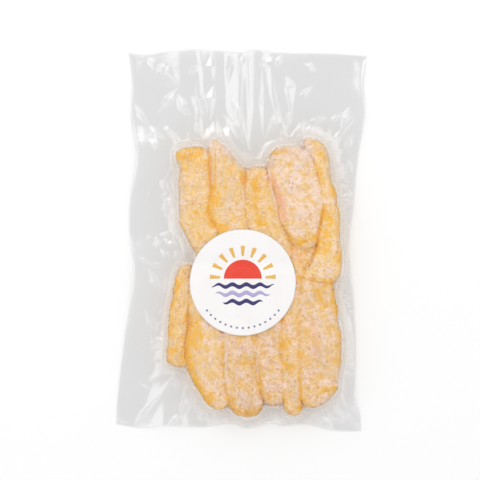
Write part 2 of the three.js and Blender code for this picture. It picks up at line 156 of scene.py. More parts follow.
def mottle(points, size, seed):
    """Smooth noise from -1 to 1 over points in space: a random number at each corner of a cubic
    lattice of that size, blended along each axis by t squared times (3 - 2t)."""
    numbers = np.random.default_rng(seed).uniform(-1, 1, NUMBERS)
    cell = np.floor(points / size).astype(np.int64)
    t = points / size - cell
    t = t * t * (3 - 2 * t)
    total = np.zeros(points.shape[:-1])
    for corner in itertools.product((0, 1), repeat=3):
        key = (cell + np.array(corner)) * np.array(CORNER_KEYS)
        number = numbers[(key[..., 0] ^ key[..., 1] ^ key[..., 2]) & (NUMBERS - 1)]
        total += number * np.where(corner, t, 1 - t).prod(-1)
    return total


def normals(grid):
    """Unit normals of a grid of points that closes on itself along its second axis: the cross
    product of its two central differences."""
    across = (np.roll(grid, -1, 1) - np.roll(grid, 1, 1)) / 2
    normal = np.cross(across, np.gradient(grid, axis=0))
    return normal / np.maximum(np.linalg.norm(normal, axis=-1, keepdims=True), 1e-12)


def section(half, low, high, count):
    """Points evenly spaced round a finger's section: a superellipse |x|^p + |z|^p = 1 with one
    power above its widest level and a squarer one below, stretched to its sizes. They run from
    the right side down and round."""
    angle = np.linspace(2 * np.pi, 0, SECTION_POINTS)
    power = np.where(np.sin(angle) >= 0, TOP_SQUARENESS, BOTTOM_SQUARENESS)
    x = np.sign(np.cos(angle)) * np.abs(np.cos(angle)) ** (2 / power)
    z = np.sign(np.sin(angle)) * np.abs(np.sin(angle)) ** (2 / power)
    step = np.hypot(np.diff(half * x), np.diff(np.where(z > 0, high, low) * z))
    travelled = np.append(0, np.cumsum(step))
    even = np.linspace(0, travelled[-1], count, endpoint=False)
    return np.interp(even, travelled, x), np.interp(even, travelled, z)


def finger_surface(ends, sides, spread, thickness, blunt):
    """A finger as rings of points. Ring v lies at that share of the length, closer at the tips.
    Its section shrinks there by tip = sqrt(1 - |2v - 1|^blunt), and its height by sqrt(tip)."""
    rings, around = FINGER_STEPS
    share = 0.5 - 0.5 * np.cos(np.pi * np.linspace(0, 1, rings))[:, None]
    tip = np.sqrt(np.maximum(0, 1 - np.abs(2 * share - 1) ** blunt))
    y = ends[0] + (ends[1] - ends[0]) * share
    left = through(SIDES[sides[0]], y) - through(spread[0], y)
    right = through(SIDES[sides[1]], y) + through(spread[1], y)
    level = WIDEST_LEVEL * thickness
    above = thickness - level
    below = level + RESTING_FLAT
    across, rise = section((right - left).mean() / 2, below, above, around)
    x = (left + right) / 2 + 0.5 * (right - left) * tip * across
    z = level + np.where(rise > 0, above, below) * rise * np.sqrt(tip)
    return np.stack([x, y * np.ones(around), z], -1)


def held_in(surface, sides, spread, upper_row):
    """The surface with what bulges past a shared groove moved back to just past it, and what
    reaches past the line between the rows moved back to that. Also how far each point moved, and
    exp(-(distance from a shared groove / reach) squared)."""
    x, y, z = np.moveaxis(surface, -1, 0)
    low = np.where(through(spread[0], y) > 0, through(SIDES[sides[0]], y), -NO_NEIGHBOUR)
    high = np.where(through(spread[1], y) > 0, through(SIDES[sides[1]], y), NO_NEIGHBOUR)
    held_x = np.clip(x, low - CONTACT_OVERLAP, high + CONTACT_OVERLAP)
    limit = through(ROW_LINE, x)
    held_y = np.maximum(y, limit - CONTACT_OVERLAP) if upper_row else np.minimum(y, limit + CONTACT_OVERLAP)
    moved = np.hypot(held_x - x, held_y - y)
    nearest = np.minimum(np.minimum(x - low, high - x), np.abs(y - limit))
    return np.stack([held_x, held_y, z], -1), moved, np.exp(-(np.clip(nearest, 0, None) / GROOVE_REACH) ** 2)


def stroke_strength(strokes, x, y):
    """How strongly the strokes mark each place: the greatest of their strengths times
    exp(-(distance from the stroke / half width) squared)."""
    total = np.zeros_like(x)
    for (from_x, from_y), (to_x, to_y), width, strength in strokes:
        run_x, run_y = to_x - from_x, to_y - from_y
        along = np.clip(((x - from_x) * run_x + (y - from_y) * run_y) / (run_x ** 2 + run_y ** 2), 0, 1)
        away = np.hypot(x - from_x - along * run_x, y - from_y - along * run_y)
        total = np.maximum(total, strength * np.exp(-(away / width) ** 2))
    return total


def rim_light(upward):
    """Painted light on the shoulders of a finger: 1 where its normal's upward part is in the middle of
    the band, and falling evenly to 0 on its top and its steep sides."""
    start, full, fading, end = RIM_LIGHT_BAND
    return np.clip((end - upward) / (end - fading), 0, 1) * np.clip((upward - start) / (full - start), 0, 1)


def breaded(surface, calm):
    """The surface pushed out along its normals by lumps and by rounded crumbs, each a sum of
    size and height times noise; the crumbs take 1 - |noise|, which leaves rounded bumps. Where
    calm is 1, against a neighbour, there is no push."""
    push = sum(height * mottle(surface, size, seed) for size, height, seed in LUMPS)
    for size, height, seed in GRAINS:
        push += height * (1 - 2 * np.abs(mottle(surface, size, seed)))
    out = surface + normals(surface) * (push * (1 - calm))[..., None]
    out[..., 2] = np.maximum(out[..., 2], FILM_UNDER)
    return out


def closed_rings(grid):
    """Vertices and faces of a skin through rings of points, with each end ring drawn into one
    point, so that the skin is closed."""
    rings, around = grid.shape[:2]
    tips = grid[[0, -1]].mean(1)
    points = np.concatenate([tips[:1], grid[1:-1].reshape(-1, 3), tips[1:]])
    k = np.arange(around)
    following = (k + 1) % around
    first = 1 + k
    last = 1 + (rings - 3) * around + k
    start = (1 + np.arange(rings - 3) * around)[:, None]
    quads = np.stack([start + k, start + following, start + around + following, start + around + k], -1)
    fans = np.concatenate([
        np.stack([np.zeros_like(k), 1 + following, first], -1),
        np.stack([np.full_like(k, len(points) - 1), last, last - k + following], -1),
    ])
    return points, quads.reshape(-1, 4).tolist() + fans.tolist()


def in_scene(name, data):
    """An object of that data, linked into the scene."""
    thing = bpy.data.objects.new(name, data)
    bpy.context.scene.collection.objects.link(thing)
    return thing


def make_piece(name, points, faces, smooth=True):
    """A mesh object of those points, in millimetres, and faces."""
    mesh = bpy.data.meshes.new(name)
    mesh.from_pydata((np.asarray(points) * MM).tolist(), [], faces)
    mesh.validate()
    if smooth:
        mesh.shade_smooth()
    else:
        mesh.shade_flat()
    return in_scene(name, mesh)


def give_attributes(piece, **masks):
    """For each name a number at each of the piece's points, which its material reads."""
    for name, values in masks.items():
        attribute = piece.data.attributes.new(name, "FLOAT", "POINT")
        attribute.data.foreach_set("value", np.asarray(values, np.float32).ravel())


class Nodes:
    """A short way to add nodes to a material or a group, and to join their sockets."""

    def __init__(self, tree):
        self.tree = tree

    def add(self, kind, inputs=None, **settings):
        """A node of that kind, with its settings and what its inputs take, by name or number."""
        node = self.tree.nodes.new(kind)
        for key, value in settings.items():
            setattr(node, key, value)
        for key, value in (inputs or {}).items():
            self.join(value, node.inputs[key])
        return node

    def join(self, value, socket):
        """A link where the value is another node's output, and otherwise a plain value."""
        if isinstance(value, bpy.types.NodeSocket):
            self.tree.links.new(value, socket)
        else:
            socket.default_value = value

    def mix(self, share, first, second):
        """The first colour where the share is 0, the second where it is 1."""
        node = self.add("ShaderNodeMix", data_type="RGBA")
        for value, socket in zip((share, first, second), (0, 6, 7)):
            self.join(value, node.inputs[socket])
        return node.outputs[2]

    def math(self, operation, *values):
        """That operation on the values."""
        node = self.add("ShaderNodeMath", operation=operation)
        for value, socket in zip(values, node.inputs):
            self.join(value, socket)
        return node.outputs[0]

    def step(self, value, low, high, start=0.0, end=1.0):
        """From start to end as the value goes from low to high, along a smooth step."""
        node = self.add("ShaderNodeMapRange", {0: value, 1: low, 2: high, 3: start, 4: end},
                        interpolation_type="SMOOTHSTEP")
        return node.outputs[0]

    def noise(self, place, scale, detail, roughness=0.5):
        """Noise about 0.5 over the place, with that many spots to each unit of it."""
        node = self.add("ShaderNodeTexNoise", {"Vector": place, "Scale": scale, "Detail": detail,
                                               "Roughness": roughness})
        return node.outputs["Fac"]

    def attribute(self, name):
        """The piece's own mask of that name."""
        return self.add("ShaderNodeAttribute", attribute_name=name).outputs["Fac"]


def linear(red, green, blue):
    """An sRGB colour, as 0 to 255, in the linear values that shaders take."""
    value = np.array((red, green, blue)) / 255
    light = np.where(value <= 0.04045, value / 12.92, ((value + 0.055) / 1.055) ** 2.4)
    return (*light.tolist(), 1.0)


def new_material(name):
    """A material with its node helper, its shader and its place in the piece's own space."""
    material = bpy.data.materials.new(name)
    material.use_nodes = True
    nodes = Nodes(material.node_tree)
    shader = material.node_tree.nodes["Principled BSDF"]
    place = nodes.add("ShaderNodeTexCoord").outputs["Object"]
    return material, nodes, shader, place


CRUMB_DEEP = linear(245, 184, 44)
CRUMB_GOLD = linear(242, 193, 111)
CRUMB_PALE = linear(245, 213, 158)
CRUMB_TOASTED = linear(202, 144, 88)
# Painted shade, for the clefts between fingers and the creases of the film over them.
CLEFT_AND_CREASE_SHADE = linear(206, 128, 44)
FLOUR = linear(250, 223, 208)
FISH_PINK = linear(240, 166, 112)
FLECK_SIZE = (0.008, 0.0024, 0.0035)  # metres along a fleck, across it and through the coating
PALE_TURNS = (0.3, 1.35, 2.5)  # directions of the pale flecks, in radians
DEEP_TURNS = (1.1, 1.9, 2.6)  # and of the deep yellow ones
FLOUR_COVERS = 0.85  # the most that flour hides of what lies under it
DEEP_COVERS = 0.9  # and the most that the deep yellow hides


def crumb_coating():
    """Golden crumb: deep yellow flecks where it is bare and in the grooves, small nearly white ones
    where flour clings, and pink where fish shows through. The shoulders are made paler as painted
    light, and the darkest colour in the clefts of bare grooves and along thin creases of the film
    over the crumb, in places, is painted shade. The flecks are noise drawn out in three directions."""
    material, nodes, shader, place = new_material("crumb coating")

    def flecks(turns):
        """The highest of three noises, each drawn out along one of the directions."""
        highest = None
        for turn in turns:
            turned = nodes.add("ShaderNodeMapping", {"Vector": place, "Rotation": (0, 0, turn),
                                                     "Scale": FLECK_SIZE}, vector_type="TEXTURE")
            drawn_out = nodes.noise(turned.outputs[0], 1, 3, 0.62)
            highest = drawn_out if highest is None else nodes.math("MAXIMUM", highest, drawn_out)
        return highest

    def weighed(*parts):
        """The sum of each part's (value - its middle) times its weight."""
        total = None
        for value, middle, weight in parts:
            part = nodes.math("MULTIPLY_ADD", value, weight, -weight * middle)
            total = part if total is None else nodes.math("ADD", total, part)
        return total

    patches = nodes.noise(place, 110, 3, 0.6)
    wisps = nodes.noise(place, 430, 4, 0.68)
    pale_flecks = flecks(PALE_TURNS)
    deep_flecks = flecks(DEEP_TURNS)
    floury, bare, rim, groove = map(nodes.attribute, ("floury", "bare", "rim", "groove"))
    # The rim mask is painted light: a little more flour and less deep yellow on the free shoulders.
    flour = nodes.step(weighed((pale_flecks, 0, 1), (floury, 0.4, 0.25), (patches, 0.5, 0.95),
                               (bare, 0, -0.26), (rim, 0, 0.08), (groove, 0, -0.1)), 0.54, 0.76)
    deep = nodes.step(weighed((deep_flecks, 0, 1), (floury, 0.4, -0.12), (patches, 0.5, -0.9),
                              (bare, 0, 0.26), (rim, 0, -0.03), (groove, 0, 0.12)), 0.61, 0.81)
    toasted = nodes.step(pale_flecks, 0.42, 0.6, 0.75, 0.25)
    toasted = nodes.math("MULTIPLY", nodes.attribute("toasted"), toasted)
    colour = nodes.mix(nodes.step(wisps, 0.36, 0.6), CRUMB_GOLD, CRUMB_PALE)
    colour = nodes.mix(nodes.math("MULTIPLY", flour, FLOUR_COVERS), colour, FLOUR)
    colour = nodes.mix(nodes.math("MULTIPLY", deep, DEEP_COVERS), colour, CRUMB_DEEP)
    colour = nodes.mix(toasted, colour, CRUMB_TOASTED)
    # Painted shade: the darkest colour in the clefts of bare grooves and along thin creases of the film.
    cleft_shade = nodes.math("MULTIPLY", groove, bare)
    cleft_shade = nodes.math("MULTIPLY", cleft_shade, nodes.step(wisps, 0.3, 0.6, 0.1, 0.4))
    crease_shade = nodes.math("ABSOLUTE", nodes.math("SUBTRACT", nodes.noise(place, 150, 1, 0.6), 0.46))
    crease_shade = nodes.step(crease_shade, 0.004, 0.02, 0.6, 0.0)
    crease_shade = nodes.math("MULTIPLY", crease_shade, nodes.step(patches, 0.48, 0.56))
    colour = nodes.mix(nodes.math("MAXIMUM", cleft_shade, crease_shade), colour, CLEFT_AND_CREASE_SHADE)
    reddish = nodes.math("MULTIPLY", nodes.attribute("reddish"), nodes.step(wisps, 0.35, 0.6, 0.2, 0.9))
    nodes.join(nodes.mix(reddish, colour, FISH_PINK), shader.inputs["Base Color"])
    nodes.join(nodes.step(wisps, 0.3, 0.7, 0.62, 0.9), shader.inputs["Roughness"])
    wander = nodes.add("ShaderNodeTexNoise", {"Vector": place, "Scale": 900, "Detail": 2})
    bend = nodes.add("ShaderNodeVectorMath", {0: wander.outputs["Color"], "Scale": 0.0014}, operation="SCALE")
    bent = nodes.add("ShaderNodeVectorMath", {0: place, 1: bend.outputs[0]}, operation="ADD")
    crumb = nodes.add("ShaderNodeTexVoronoi", {"Vector": bent.outputs[0], "Scale": 760})
    height = weighed((wisps, 0.5, 0.6), (pale_flecks, 0.5, 1.2), (crumb.outputs["Distance"], 0, -1))
    bump = nodes.add("ShaderNodeBump", {"Height": height, "Strength": 0.4, "Distance": 0.0009})
    nodes.join(bump.outputs["Normal"], shader.inputs["Normal"])
    return material


coating = crumb_coating()
finger_points = []
for name, (ends, sides, spread, thickness, blunt, floury, toasted) in FINGERS.items():
    plain = finger_surface(ends, sides, spread, thickness, blunt)
    facing = normals(plain)
    plain, moved, groove = held_in(plain, sides, spread, name.startswith("upper"))
    grid = breaded(plain, np.clip(moved / PRESSED_WITHIN, 0, 1))
    points, faces = closed_rings(grid)
    finger = make_piece(f"finger_{name}", points, faces)
    # Painted light on the free shoulders, where no neighbour pressed them, by how far their normals point up.
    rim = rim_light(facing[..., 2]) * (moved == 0)
    give_attributes(
        finger,
        rim=np.concatenate([[0], rim[1:-1].ravel(), [0]]),
        groove=np.concatenate([[0], groove[1:-1].ravel(), [0]]),
        floury=np.full(len(points), floury),
        toasted=np.full(len(points), toasted),
        bare=stroke_strength(BARE, *points.T[:2]),
        reddish=stroke_strength(REDDISH, *points.T[:2]),
    )
    finger.data.materials.append(coating)
    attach(finger, "root")
    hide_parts("pouch")
    finger_points.append((grid, facing, toasted))


# Loose crumbs: coarse bits of breadcrumb stuck to the fingers, each a small angular chip. They
# are one joined mesh, half sunk in the coating at places drawn at random, and a few are toasted.
CRUMBS_A_FINGER = 1300
CRUMB_SIZES = (0.45, 1.25)
CRUMB_SEED = 11
BARE_TIP_RINGS = 3
LOWEST_CRUMB = 1.5  # above the table
CHIP_STRETCH = (1.2, 0.6, 0.4)  # along, across and thick
CHIP_UNEVENNESS = (0.6, 1.1)
CHIP_FLOUR = (-0.6, 0.9)  # how floury a chip is
TOASTED_CHIPS = (-0.52, 1.3)  # a chip less floury than this is toasted, and how much
CHIP_POINTS = np.array([(1, 0, 0), (-1, 0, 0), (0, 1, 0), (0, -1, 0), (0, 0, 1), (0, 0, -1)], float)
CHIP_FACES = np.array([
    (0, 2, 4), (2, 1, 4), (1, 3, 4), (3, 0, 4), (2, 0, 5), (1, 2, 5), (3, 1, 5), (0, 3, 5),
])


def lying_flat(draw, normal):
    """For each normal, three axes: two square to it at a random turn, then the normal itself."""
    along = np.cross(normal, draw.normal(size=normal.shape))
    along /= np.linalg.norm(along, axis=-1, keepdims=True)
    return np.stack([along, np.cross(normal, along), normal], 1)


draw = np.random.default_rng(CRUMB_SEED)
chips, rim_lights, flours, toasts = [], [], [], []
for grid, normal, toasted in finger_points:
    ring = draw.integers(BARE_TIP_RINGS, grid.shape[0] - BARE_TIP_RINGS, CRUMBS_A_FINGER)
    spot = draw.integers(0, grid.shape[1], CRUMBS_A_FINGER)
    size = draw.uniform(*CRUMB_SIZES, CRUMBS_A_FINGER)
    reach = size[:, None, None] * draw.uniform(*CHIP_UNEVENNESS, (CRUMBS_A_FINGER, len(CHIP_POINTS), 1))
    shape = CHIP_POINTS * reach * np.array(CHIP_STRETCH)
    shape = np.einsum("kvj,kji->kvi", shape, lying_flat(draw, normal[ring, spot]))
    chip = shape + grid[ring, spot][:, None]
    chip[..., 2] = np.maximum(chip[..., 2], FILM_UNDER)
    kept = chip[..., 2].mean(1) > LOWEST_CRUMB
    flour = draw.uniform(*CHIP_FLOUR, CRUMBS_A_FINGER)[kept]
    chips.append(chip[kept])
    # The same painted light on the shoulders for each chip.
    rim_lights.append(rim_light(normal[ring, spot][kept, 2]))
    flours.append(flour)
    toasts.append(np.where(flour < TOASTED_CHIPS[0], TOASTED_CHIPS[1], toasted))
chips = np.concatenate(chips)
faces = CHIP_FACES + len(CHIP_POINTS) * np.arange(len(chips))[:, None, None]
crumbs = make_piece("loose_crumbs", chips.reshape(-1, 3), faces.reshape(-1, 3).tolist(), smooth=False)
give_attributes(
    crumbs,
    rim=np.repeat(np.concatenate(rim_lights), len(CHIP_POINTS)),
    floury=np.repeat(np.concatenate(flours), len(CHIP_POINTS)),
    toasted=np.repeat(np.concatenate(toasts), len(CHIP_POINTS)),
    bare=stroke_strength(BARE, chips[..., 0], chips[..., 1]),
    reddish=stroke_strength(REDDISH, chips[..., 0], chips[..., 1]),
)
crumbs.data.materials.append(coating)
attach(crumbs, "root")
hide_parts("pouch")


# The pouch: two clear films, welded round their edges, that the vacuum has drawn onto the fingers
# and onto each other. The outline is drawn in beside the food, and the spare film stands in folds.
LEFT_SIDE = (  # [along, across] pairs: x at heights y for the long sides, y at x for the ends
    (-148, -100.4), (-127, -99.6), (-79, -94), (-47, -88.8), (-19, -86.8), (10, -90),
    (33, -89.4), (68, -84.4), (97, -88.4), (128, -87.8), (151, -90.4),
)
RIGHT_SIDE = (
    (-153, 95.8), (-140, 95.2), (-126, 91.6), (-83, 91.6), (-47, 90), (-6, 86),
    (29, 90), (65, 93.2), (101, 98.8), (125, 97.8), (149, 100.4),
)
MOUTH_END = (
    (-90, 150.2), (-78, 148.6), (-61, 151), (-41, 152.6), (-16, 151.8), (-1, 150.2),
    (12, 152.6), (27, 150.4), (67, 150), (100, 147.8),
)
CLOSED_END = (
    (-100, -146.6), (-81, -149.8), (-59, -148.2), (-29, -149), (-8, -145.8), (4, -149.8),
    (24, -145.8), (34, -148.2), (51, -146.6), (69, -151.4), (85, -152.6), (96, -152.2),
)
LEFT_LIFT = (  # how high the margin lies along those four edges
    (-148, 0.8), (-79, 2.6), (-19, 5), (10, 2), (68, 4.4), (97, 2), (151, 0.6),
)
RIGHT_LIFT = (
    (-153, 1.2), (-126, 4), (-83, 1.8), (-6, 5), (65, 2.2), (101, 3.6), (149, 0.8),
)
MOUTH_LIFT = (
    (-90, 0.6), (-61, 3.4), (-41, 5.2), (-16, 2), (-1, 5), (12, 2.2), (27, 4), (67, 1.6), (100, 0.8),
)
CLOSED_LIFT = (
    (-100, 0.8), (-81, 1.4), (-59, 4.6), (-29, 1), (-8, 4.4), (4, 0.8), (24, 4.8), (34, 2.2),
    (51, 3.8), (69, 0.8), (96, 1.2),
)
PLEATS = (  # from [x, y] to [x, y], height, width of the left and of the right face, share at its widest
    ((7, 69), (-9, 114), 1.7, 2.2, 6, 0.75), ((7, 69), (-16, 104), 0.9, 2, 3, 0.6),
    ((2, 151), (-4, 124), 1.1, 2.4, 3.4, 0.4), ((-8, 151), (-12, 122), 1.2, 3.4, 3, 0.5),
    ((4, 152), (5, 74), 0.8, 5, 4, 0.6), ((18, 76), (17, 140), 0.8, 4, 5, 0.5),
    ((18, 79), (31, 108), 1.7, 2.4, 6, 0.55), ((30, 78), (41, 108), 1.3, 2.6, 3.2, 0.6),
    ((40, 98), (35, 133), 1.9, 3, 7, 0.7), ((44, 112), (58, 124), 0.7, 4, 3, 0.4),
    ((37, 80), (54, 97), 1.2, 3.2, 3, 0.6), ((52, 95), (70, 98), 1.1, 3, 3.6, 0.5),
    ((47, 79), (66, 86), 0.8, 3, 3, 0.5), ((87, 108), (79, 86), 1.4, 3, 5, 0.5),
    ((70, 94), (82, 103), 1.0, 3.6, 3, 0.5), ((64, 78), (78, 82), 1.0, 4, 3.4, 0.5),
    ((69, 68), (82, 72), 0.9, 3, 3.4, 0.6), ((82, 70), (89, 88), 0.9, 2.6, 4, 0.4),
    ((13, 138), (26, 146), 1.3, 4.6, 4, 0.5), ((33, 150), (26, 136), 0.9, 3, 3.4, 0.5),
    ((48, 140), (60, 136), 0.7, 5, 4, 0.5), ((-24, 152), (-23, 126), 1.6, 3, 6.4, 0.5),
    ((-43, 132), (-34, 140), 1.1, 3, 4.4, 0.5), ((-68, 134), (-60, 141), 1.0, 3.4, 3.4, 0.5),
    ((-63, 140), (-54, 131), 0.9, 3, 2.6, 0.4), ((-74, 148), (-69, 136), 0.9, 4, 3, 0.5),
    ((-67, 100), (-50, 122), 1.4, 5, 4.6, 0.55), ((-52, 119), (-40, 96), 1.5, 4, 5, 0.45),
    ((-26, 91), (-41, 118), 1.2, 3.4, 4.6, 0.7), ((-26, 91), (-31, 121), 1.2, 4, 3.4, 0.7),
    ((-26, 91), (-22, 126), 1.4, 6, 3, 0.65), ((-24, 76), (-27, 93), 0.4, 3, 3, 0.6),
    ((-38, 96), (-32, 82), 0.8, 3, 2.6, 0.4), ((-88, 113), (-73, 89), 1.1, 2.6, 3, 0.5),
    ((-69, 86), (-68, 69), 0.9, 3, 3, 0.5), ((-76, 96), (-84, 100), 0.5, 3, 3, 0.5),
    ((-56, 66), (-54, 76), 0.8, 3, 3, 0.5), ((-66, 52), (-55, 31), 1.3, 4.6, 3.4, 0.45),
    ((-61, 36), (-60, 16), 0.8, 2.4, 2.6, 0.4), ((-77, 38), (-70, 36), 0.6, 2.4, 2.4, 0.5),
    ((-68, 5), (-53, 4), 1.0, 2.8, 3, 0.6), ((-54, 0), (-52, 13), 1.0, 3.4, 3, 0.5),
    ((-64, 2), (-49, -6), 1.2, 4, 3, 0.6), ((-68, 4), (-66, -8), 0.9, 2.6, 3, 0.5),
    ((-66, -6), (-56, -16), 0.9, 3, 2.6, 0.5), ((-75, 3), (-73, 1), 0.7, 3, 3, 0.5),
    ((-87, -12), (-58, -23), 0.9, 2.6, 2.6, 0.6), ((-74, -18), (-68, -38), 1.4, 4.6, 3.4, 0.75),
    ((-52, -19), (-39, -14), 1.2, 3.6, 3, 0.5), ((-58, -27), (-54, -37), 0.9, 2.6, 2.6, 0.5),
    ((-77, -48), (-70, -84), 0.8, 3, 2.4, 0.5), ((-70, -82), (-61, -100), 0.7, 3, 2.6, 0.5),
    ((-69, -69), (-65, -70), 0.5, 2, 2, 0.5), ((-69, -77), (-65, -78), 0.5, 2, 2, 0.5),
    ((-49, -101), (-42, -102), 0.9, 3, 2.6, 0.5), ((-84, -110), (-72, -118), 0.8, 3, 2.6, 0.5),
    ((-59, -116), (-86, -148), 2.1, 8, 3, 0.75), ((-50, -106), (-66, -122), 0.8, 3.4, 3, 0.5),
    ((-44, -114), (-49, -142), 1.7, 7, 2.6, 0.6), ((-39, -112), (-22, -142), 1.6, 3, 6, 0.7),
    ((-48, -136), (-60, -149), 1.1, 3.4, 3, 0.5), ((-36, -128), (-30, -147), 0.9, 4, 4, 0.6),
    ((-102, -140), (-88, -146), 0.7, 4, 3, 0.5), ((-6, -141), (6, -143), 0.8, 2.6, 3, 0.5),
    ((18, -133), (38, -136), 0.7, 2.6, 2.6, 0.5), ((18, -136), (14, -147), 0.7, 3, 3, 0.5),
    ((58, -135), (74, -152), 1.3, 4.4, 3.4, 0.6), ((64, -130), (74, -140), 1.0, 3.6, 3, 0.5),
    ((74, -143), (82, -140), 0.7, 2.4, 2.6, 0.5), ((80, -103), (88, -99), 0.7, 2.4, 2.4, 0.5),
    ((91, 39), (78, 33), 0.9, 2.4, 3, 0.5), ((81, 18), (86, 4), 1.2, 4, 3, 0.5),
    ((79, -5), (87, -5), 0.6, 2.4, 2.4, 0.5), ((79, -26), (89, -20), 0.8, 2.4, 3, 0.5),
    ((70, -36), (82, -34), 0.9, 2.6, 2.6, 0.5), ((70, 58), (83, 60), 1.0, 3, 4, 0.5),
    ((84, 66), (88, 53), 0.9, 3.4, 3, 0.5), ((80, -52), (84, -74), 0.6, 2.6, 2.6, 0.5),
)
WRINKLES = 130  # small ones at the foot of the food
WRINKLE_SEED = 8
WRINKLE_PLACE = (0.2, 0.95)  # from this share of the way up from the margin to this one
WRINKLE_END = 64  # the highest y of one
WRINKLE_TURN = 0.5  # how far one strays from the slope, in radians
WRINKLE_HALF = (3, 9)  # half length
WRINKLE_WIDTH = (1.2, 3.4)
WRINKLE_SHARE = (0.3, 0.7)  # height in widths, and where it is widest
POUCH_WIDTH = 198  # of the flat film, before the vacuum drew it in
POUCH_LENGTH = 304
SEAM_HEIGHT = 3.4  # where the two films meet beside the food
SEAM_REACH = 8
SEAM_SHARE = 0.45  # of the blurred food, from which the film counts as over it
EDGE_SOFTNESS = 3
FILM_FALL = 0.7  # curvature of the film where it hangs free, per millimetre
FILM_CLEAR = 0.12
FILM_SWEEPS = 160
LABEL_SWEEPS = 40
NOTHING = 99.0  # higher than anything, where there is no food to rest under
CELL = 0.88  # of the square lattice that holds the fields
LATTICE_X = np.arange(-106, 106 + CELL, CELL)
LATTICE_Y = np.arange(-158, 158 + CELL, CELL)
# The label's place and how stiffly it lies, which the film under it has to know.
LABEL = dict(x=1, y=-33, radius=42, border=4, bridging=7, stiffness=8, lift=0.7, smoothing=2.5)


def smoothstep(value, low, high):
    """0 up to low, 1 from high, and t squared times (3 - 2t) between."""
    t = np.clip((value - low) / (high - low), 0, 1)
    return t * t * (3 - 2 * t)


def blurred(field, reach):
    """A field blurred by a bell curve of that reach, along its rows and then its columns."""
    half = int(np.ceil(2.5 * reach / CELL))
    bell = np.exp(-0.5 * (np.arange(-half, half + 1) * CELL / reach) ** 2)
    for axis in (0, 1):
        pad = [(half, half) if axis == side else (0, 0) for side in (0, 1)]
        padded = np.pad(field, pad, mode="edge")
        shifts = (np.take(padded, np.arange(k, k + field.shape[axis]), axis) for k in range(2 * half + 1))
        field = sum(weight * shift for weight, shift in zip(bell / bell.sum(), shifts))
    return field


def sampled(field, x, y):
    """The field at places between its lattice points, from its four nearest."""
    u = np.clip((x - LATTICE_X[0]) / CELL, 0, len(LATTICE_X) - 1.001)
    v = np.clip((y - LATTICE_Y[0]) / CELL, 0, len(LATTICE_Y) - 1.001)
    i, j = u.astype(int), v.astype(int)
    u, v = u - i, v - j
    lower = field[j, i] * (1 - u) + field[j, i + 1] * u
    upper = field[j + 1, i] * (1 - u) + field[j + 1, i + 1] * u
    return lower * (1 - v) + upper * v


def outermost(points, keep, empty):
    """A field of the highest (or lowest) point in each lattice cell and its neighbours."""
    field = np.full((len(LATTICE_Y), len(LATTICE_X)), empty)
    i = np.round((points[:, 0] - LATTICE_X[0]) / CELL).astype(int)
    j = np.round((points[:, 1] - LATTICE_Y[0]) / CELL).astype(int)
    keep.at(field, (j, i), points[:, 2])
    for axis in (0, 1):
        field = keep(field, keep(np.roll(field, 1, axis), np.roll(field, -1, axis)))
    return field


def neighbour_mean(field):
    """The mean of the four neighbours of each inner point."""
    return (field[1:-1, :-2] + field[1:-1, 2:] + field[:-2, 1:-1] + field[2:, 1:-1]) / 4


def stretched_over(cover, sweeps):
    """A film drawn over what it covers: each free point is the mean of its four neighbours less
    the fall that its curvature gives, and no point sinks below the cover."""
    film = cover.copy()
    fall = FILM_FALL * CELL ** 2 / 4
    for _ in range(sweeps):
        film[1:-1, 1:-1] = np.maximum(cover[1:-1, 1:-1], neighbour_mean(film) - fall)
    return film


def edge_level(x, y):
    """The margin's height: the four edges' lifts, each weighing 1 / (distance + softness) squared."""
    sides = (
        (x - through(LEFT_SIDE, y), through(LEFT_LIFT, y)),
        (through(RIGHT_SIDE, y) - x, through(RIGHT_LIFT, y)),
        (y - through(CLOSED_END, x), through(CLOSED_LIFT, x)),
        (through(MOUTH_END, x) - y, through(MOUTH_LIFT, x)),
    )
    weights = [1 / (np.maximum(distance, 0) + EDGE_SOFTNESS) ** 2 for distance, _ in sides]
    return sum(lift * weight for (_, lift), weight in zip(sides, weights)) / sum(weights)


def pleated(x, y, pleats):
    """Height that the pleats add: each is a long low pyramid, height * (f - aside / width), where
    f rises evenly to 1 at its widest share and falls back, with its own width on each side."""
    height = np.zeros_like(x)
    for (from_x, from_y), (to_x, to_y), rise, left, right, widest in pleats:
        run_x, run_y = to_x - from_x, to_y - from_y
        length = np.hypot(run_x, run_y)
        along = ((x - from_x) * run_x + (y - from_y) * run_y) / length ** 2
        aside = ((y - from_y) * run_x - (x - from_x) * run_y) / length
        full = np.minimum(along / widest, (1 - along) / (1 - widest))
        height = np.maximum(height, rise * (full - np.where(aside > 0, aside / left, -aside / right)))
    return height


def foot_wrinkles(count, seed):
    """Small pleats at places drawn at random where the film comes down from the food to the
    margin, except at the mouth's side, each running down the slope give or take some 30 degrees."""
    draw = np.random.default_rng(seed)
    lowest, highest = WRINKLE_PLACE
    rows, columns = np.nonzero((near_food > lowest) & (near_food < highest) & (lattice_y < WRINKLE_END))
    picked = draw.choice(len(rows), count, replace=False)
    down, across = np.gradient(near_food)
    pleats = []
    for j, i in zip(rows[picked], columns[picked]):
        angle = np.arctan2(down[j, i], across[j, i]) + draw.normal(0, WRINKLE_TURN)
        half = draw.uniform(*WRINKLE_HALF)
        run_x, run_y = half * np.cos(angle), half * np.sin(angle)
        left, right = draw.uniform(*WRINKLE_WIDTH, 2)
        rise = min(left, right) * draw.uniform(*WRINKLE_SHARE)
        start = (LATTICE_X[i] - run_x, LATTICE_Y[j] - run_y)
        end = (LATTICE_X[i] + run_x, LATTICE_Y[j] + run_y)
        pleats.append((start, end, rise, left, right, draw.uniform(*WRINKLE_SHARE)))
    return tuple(pleats)


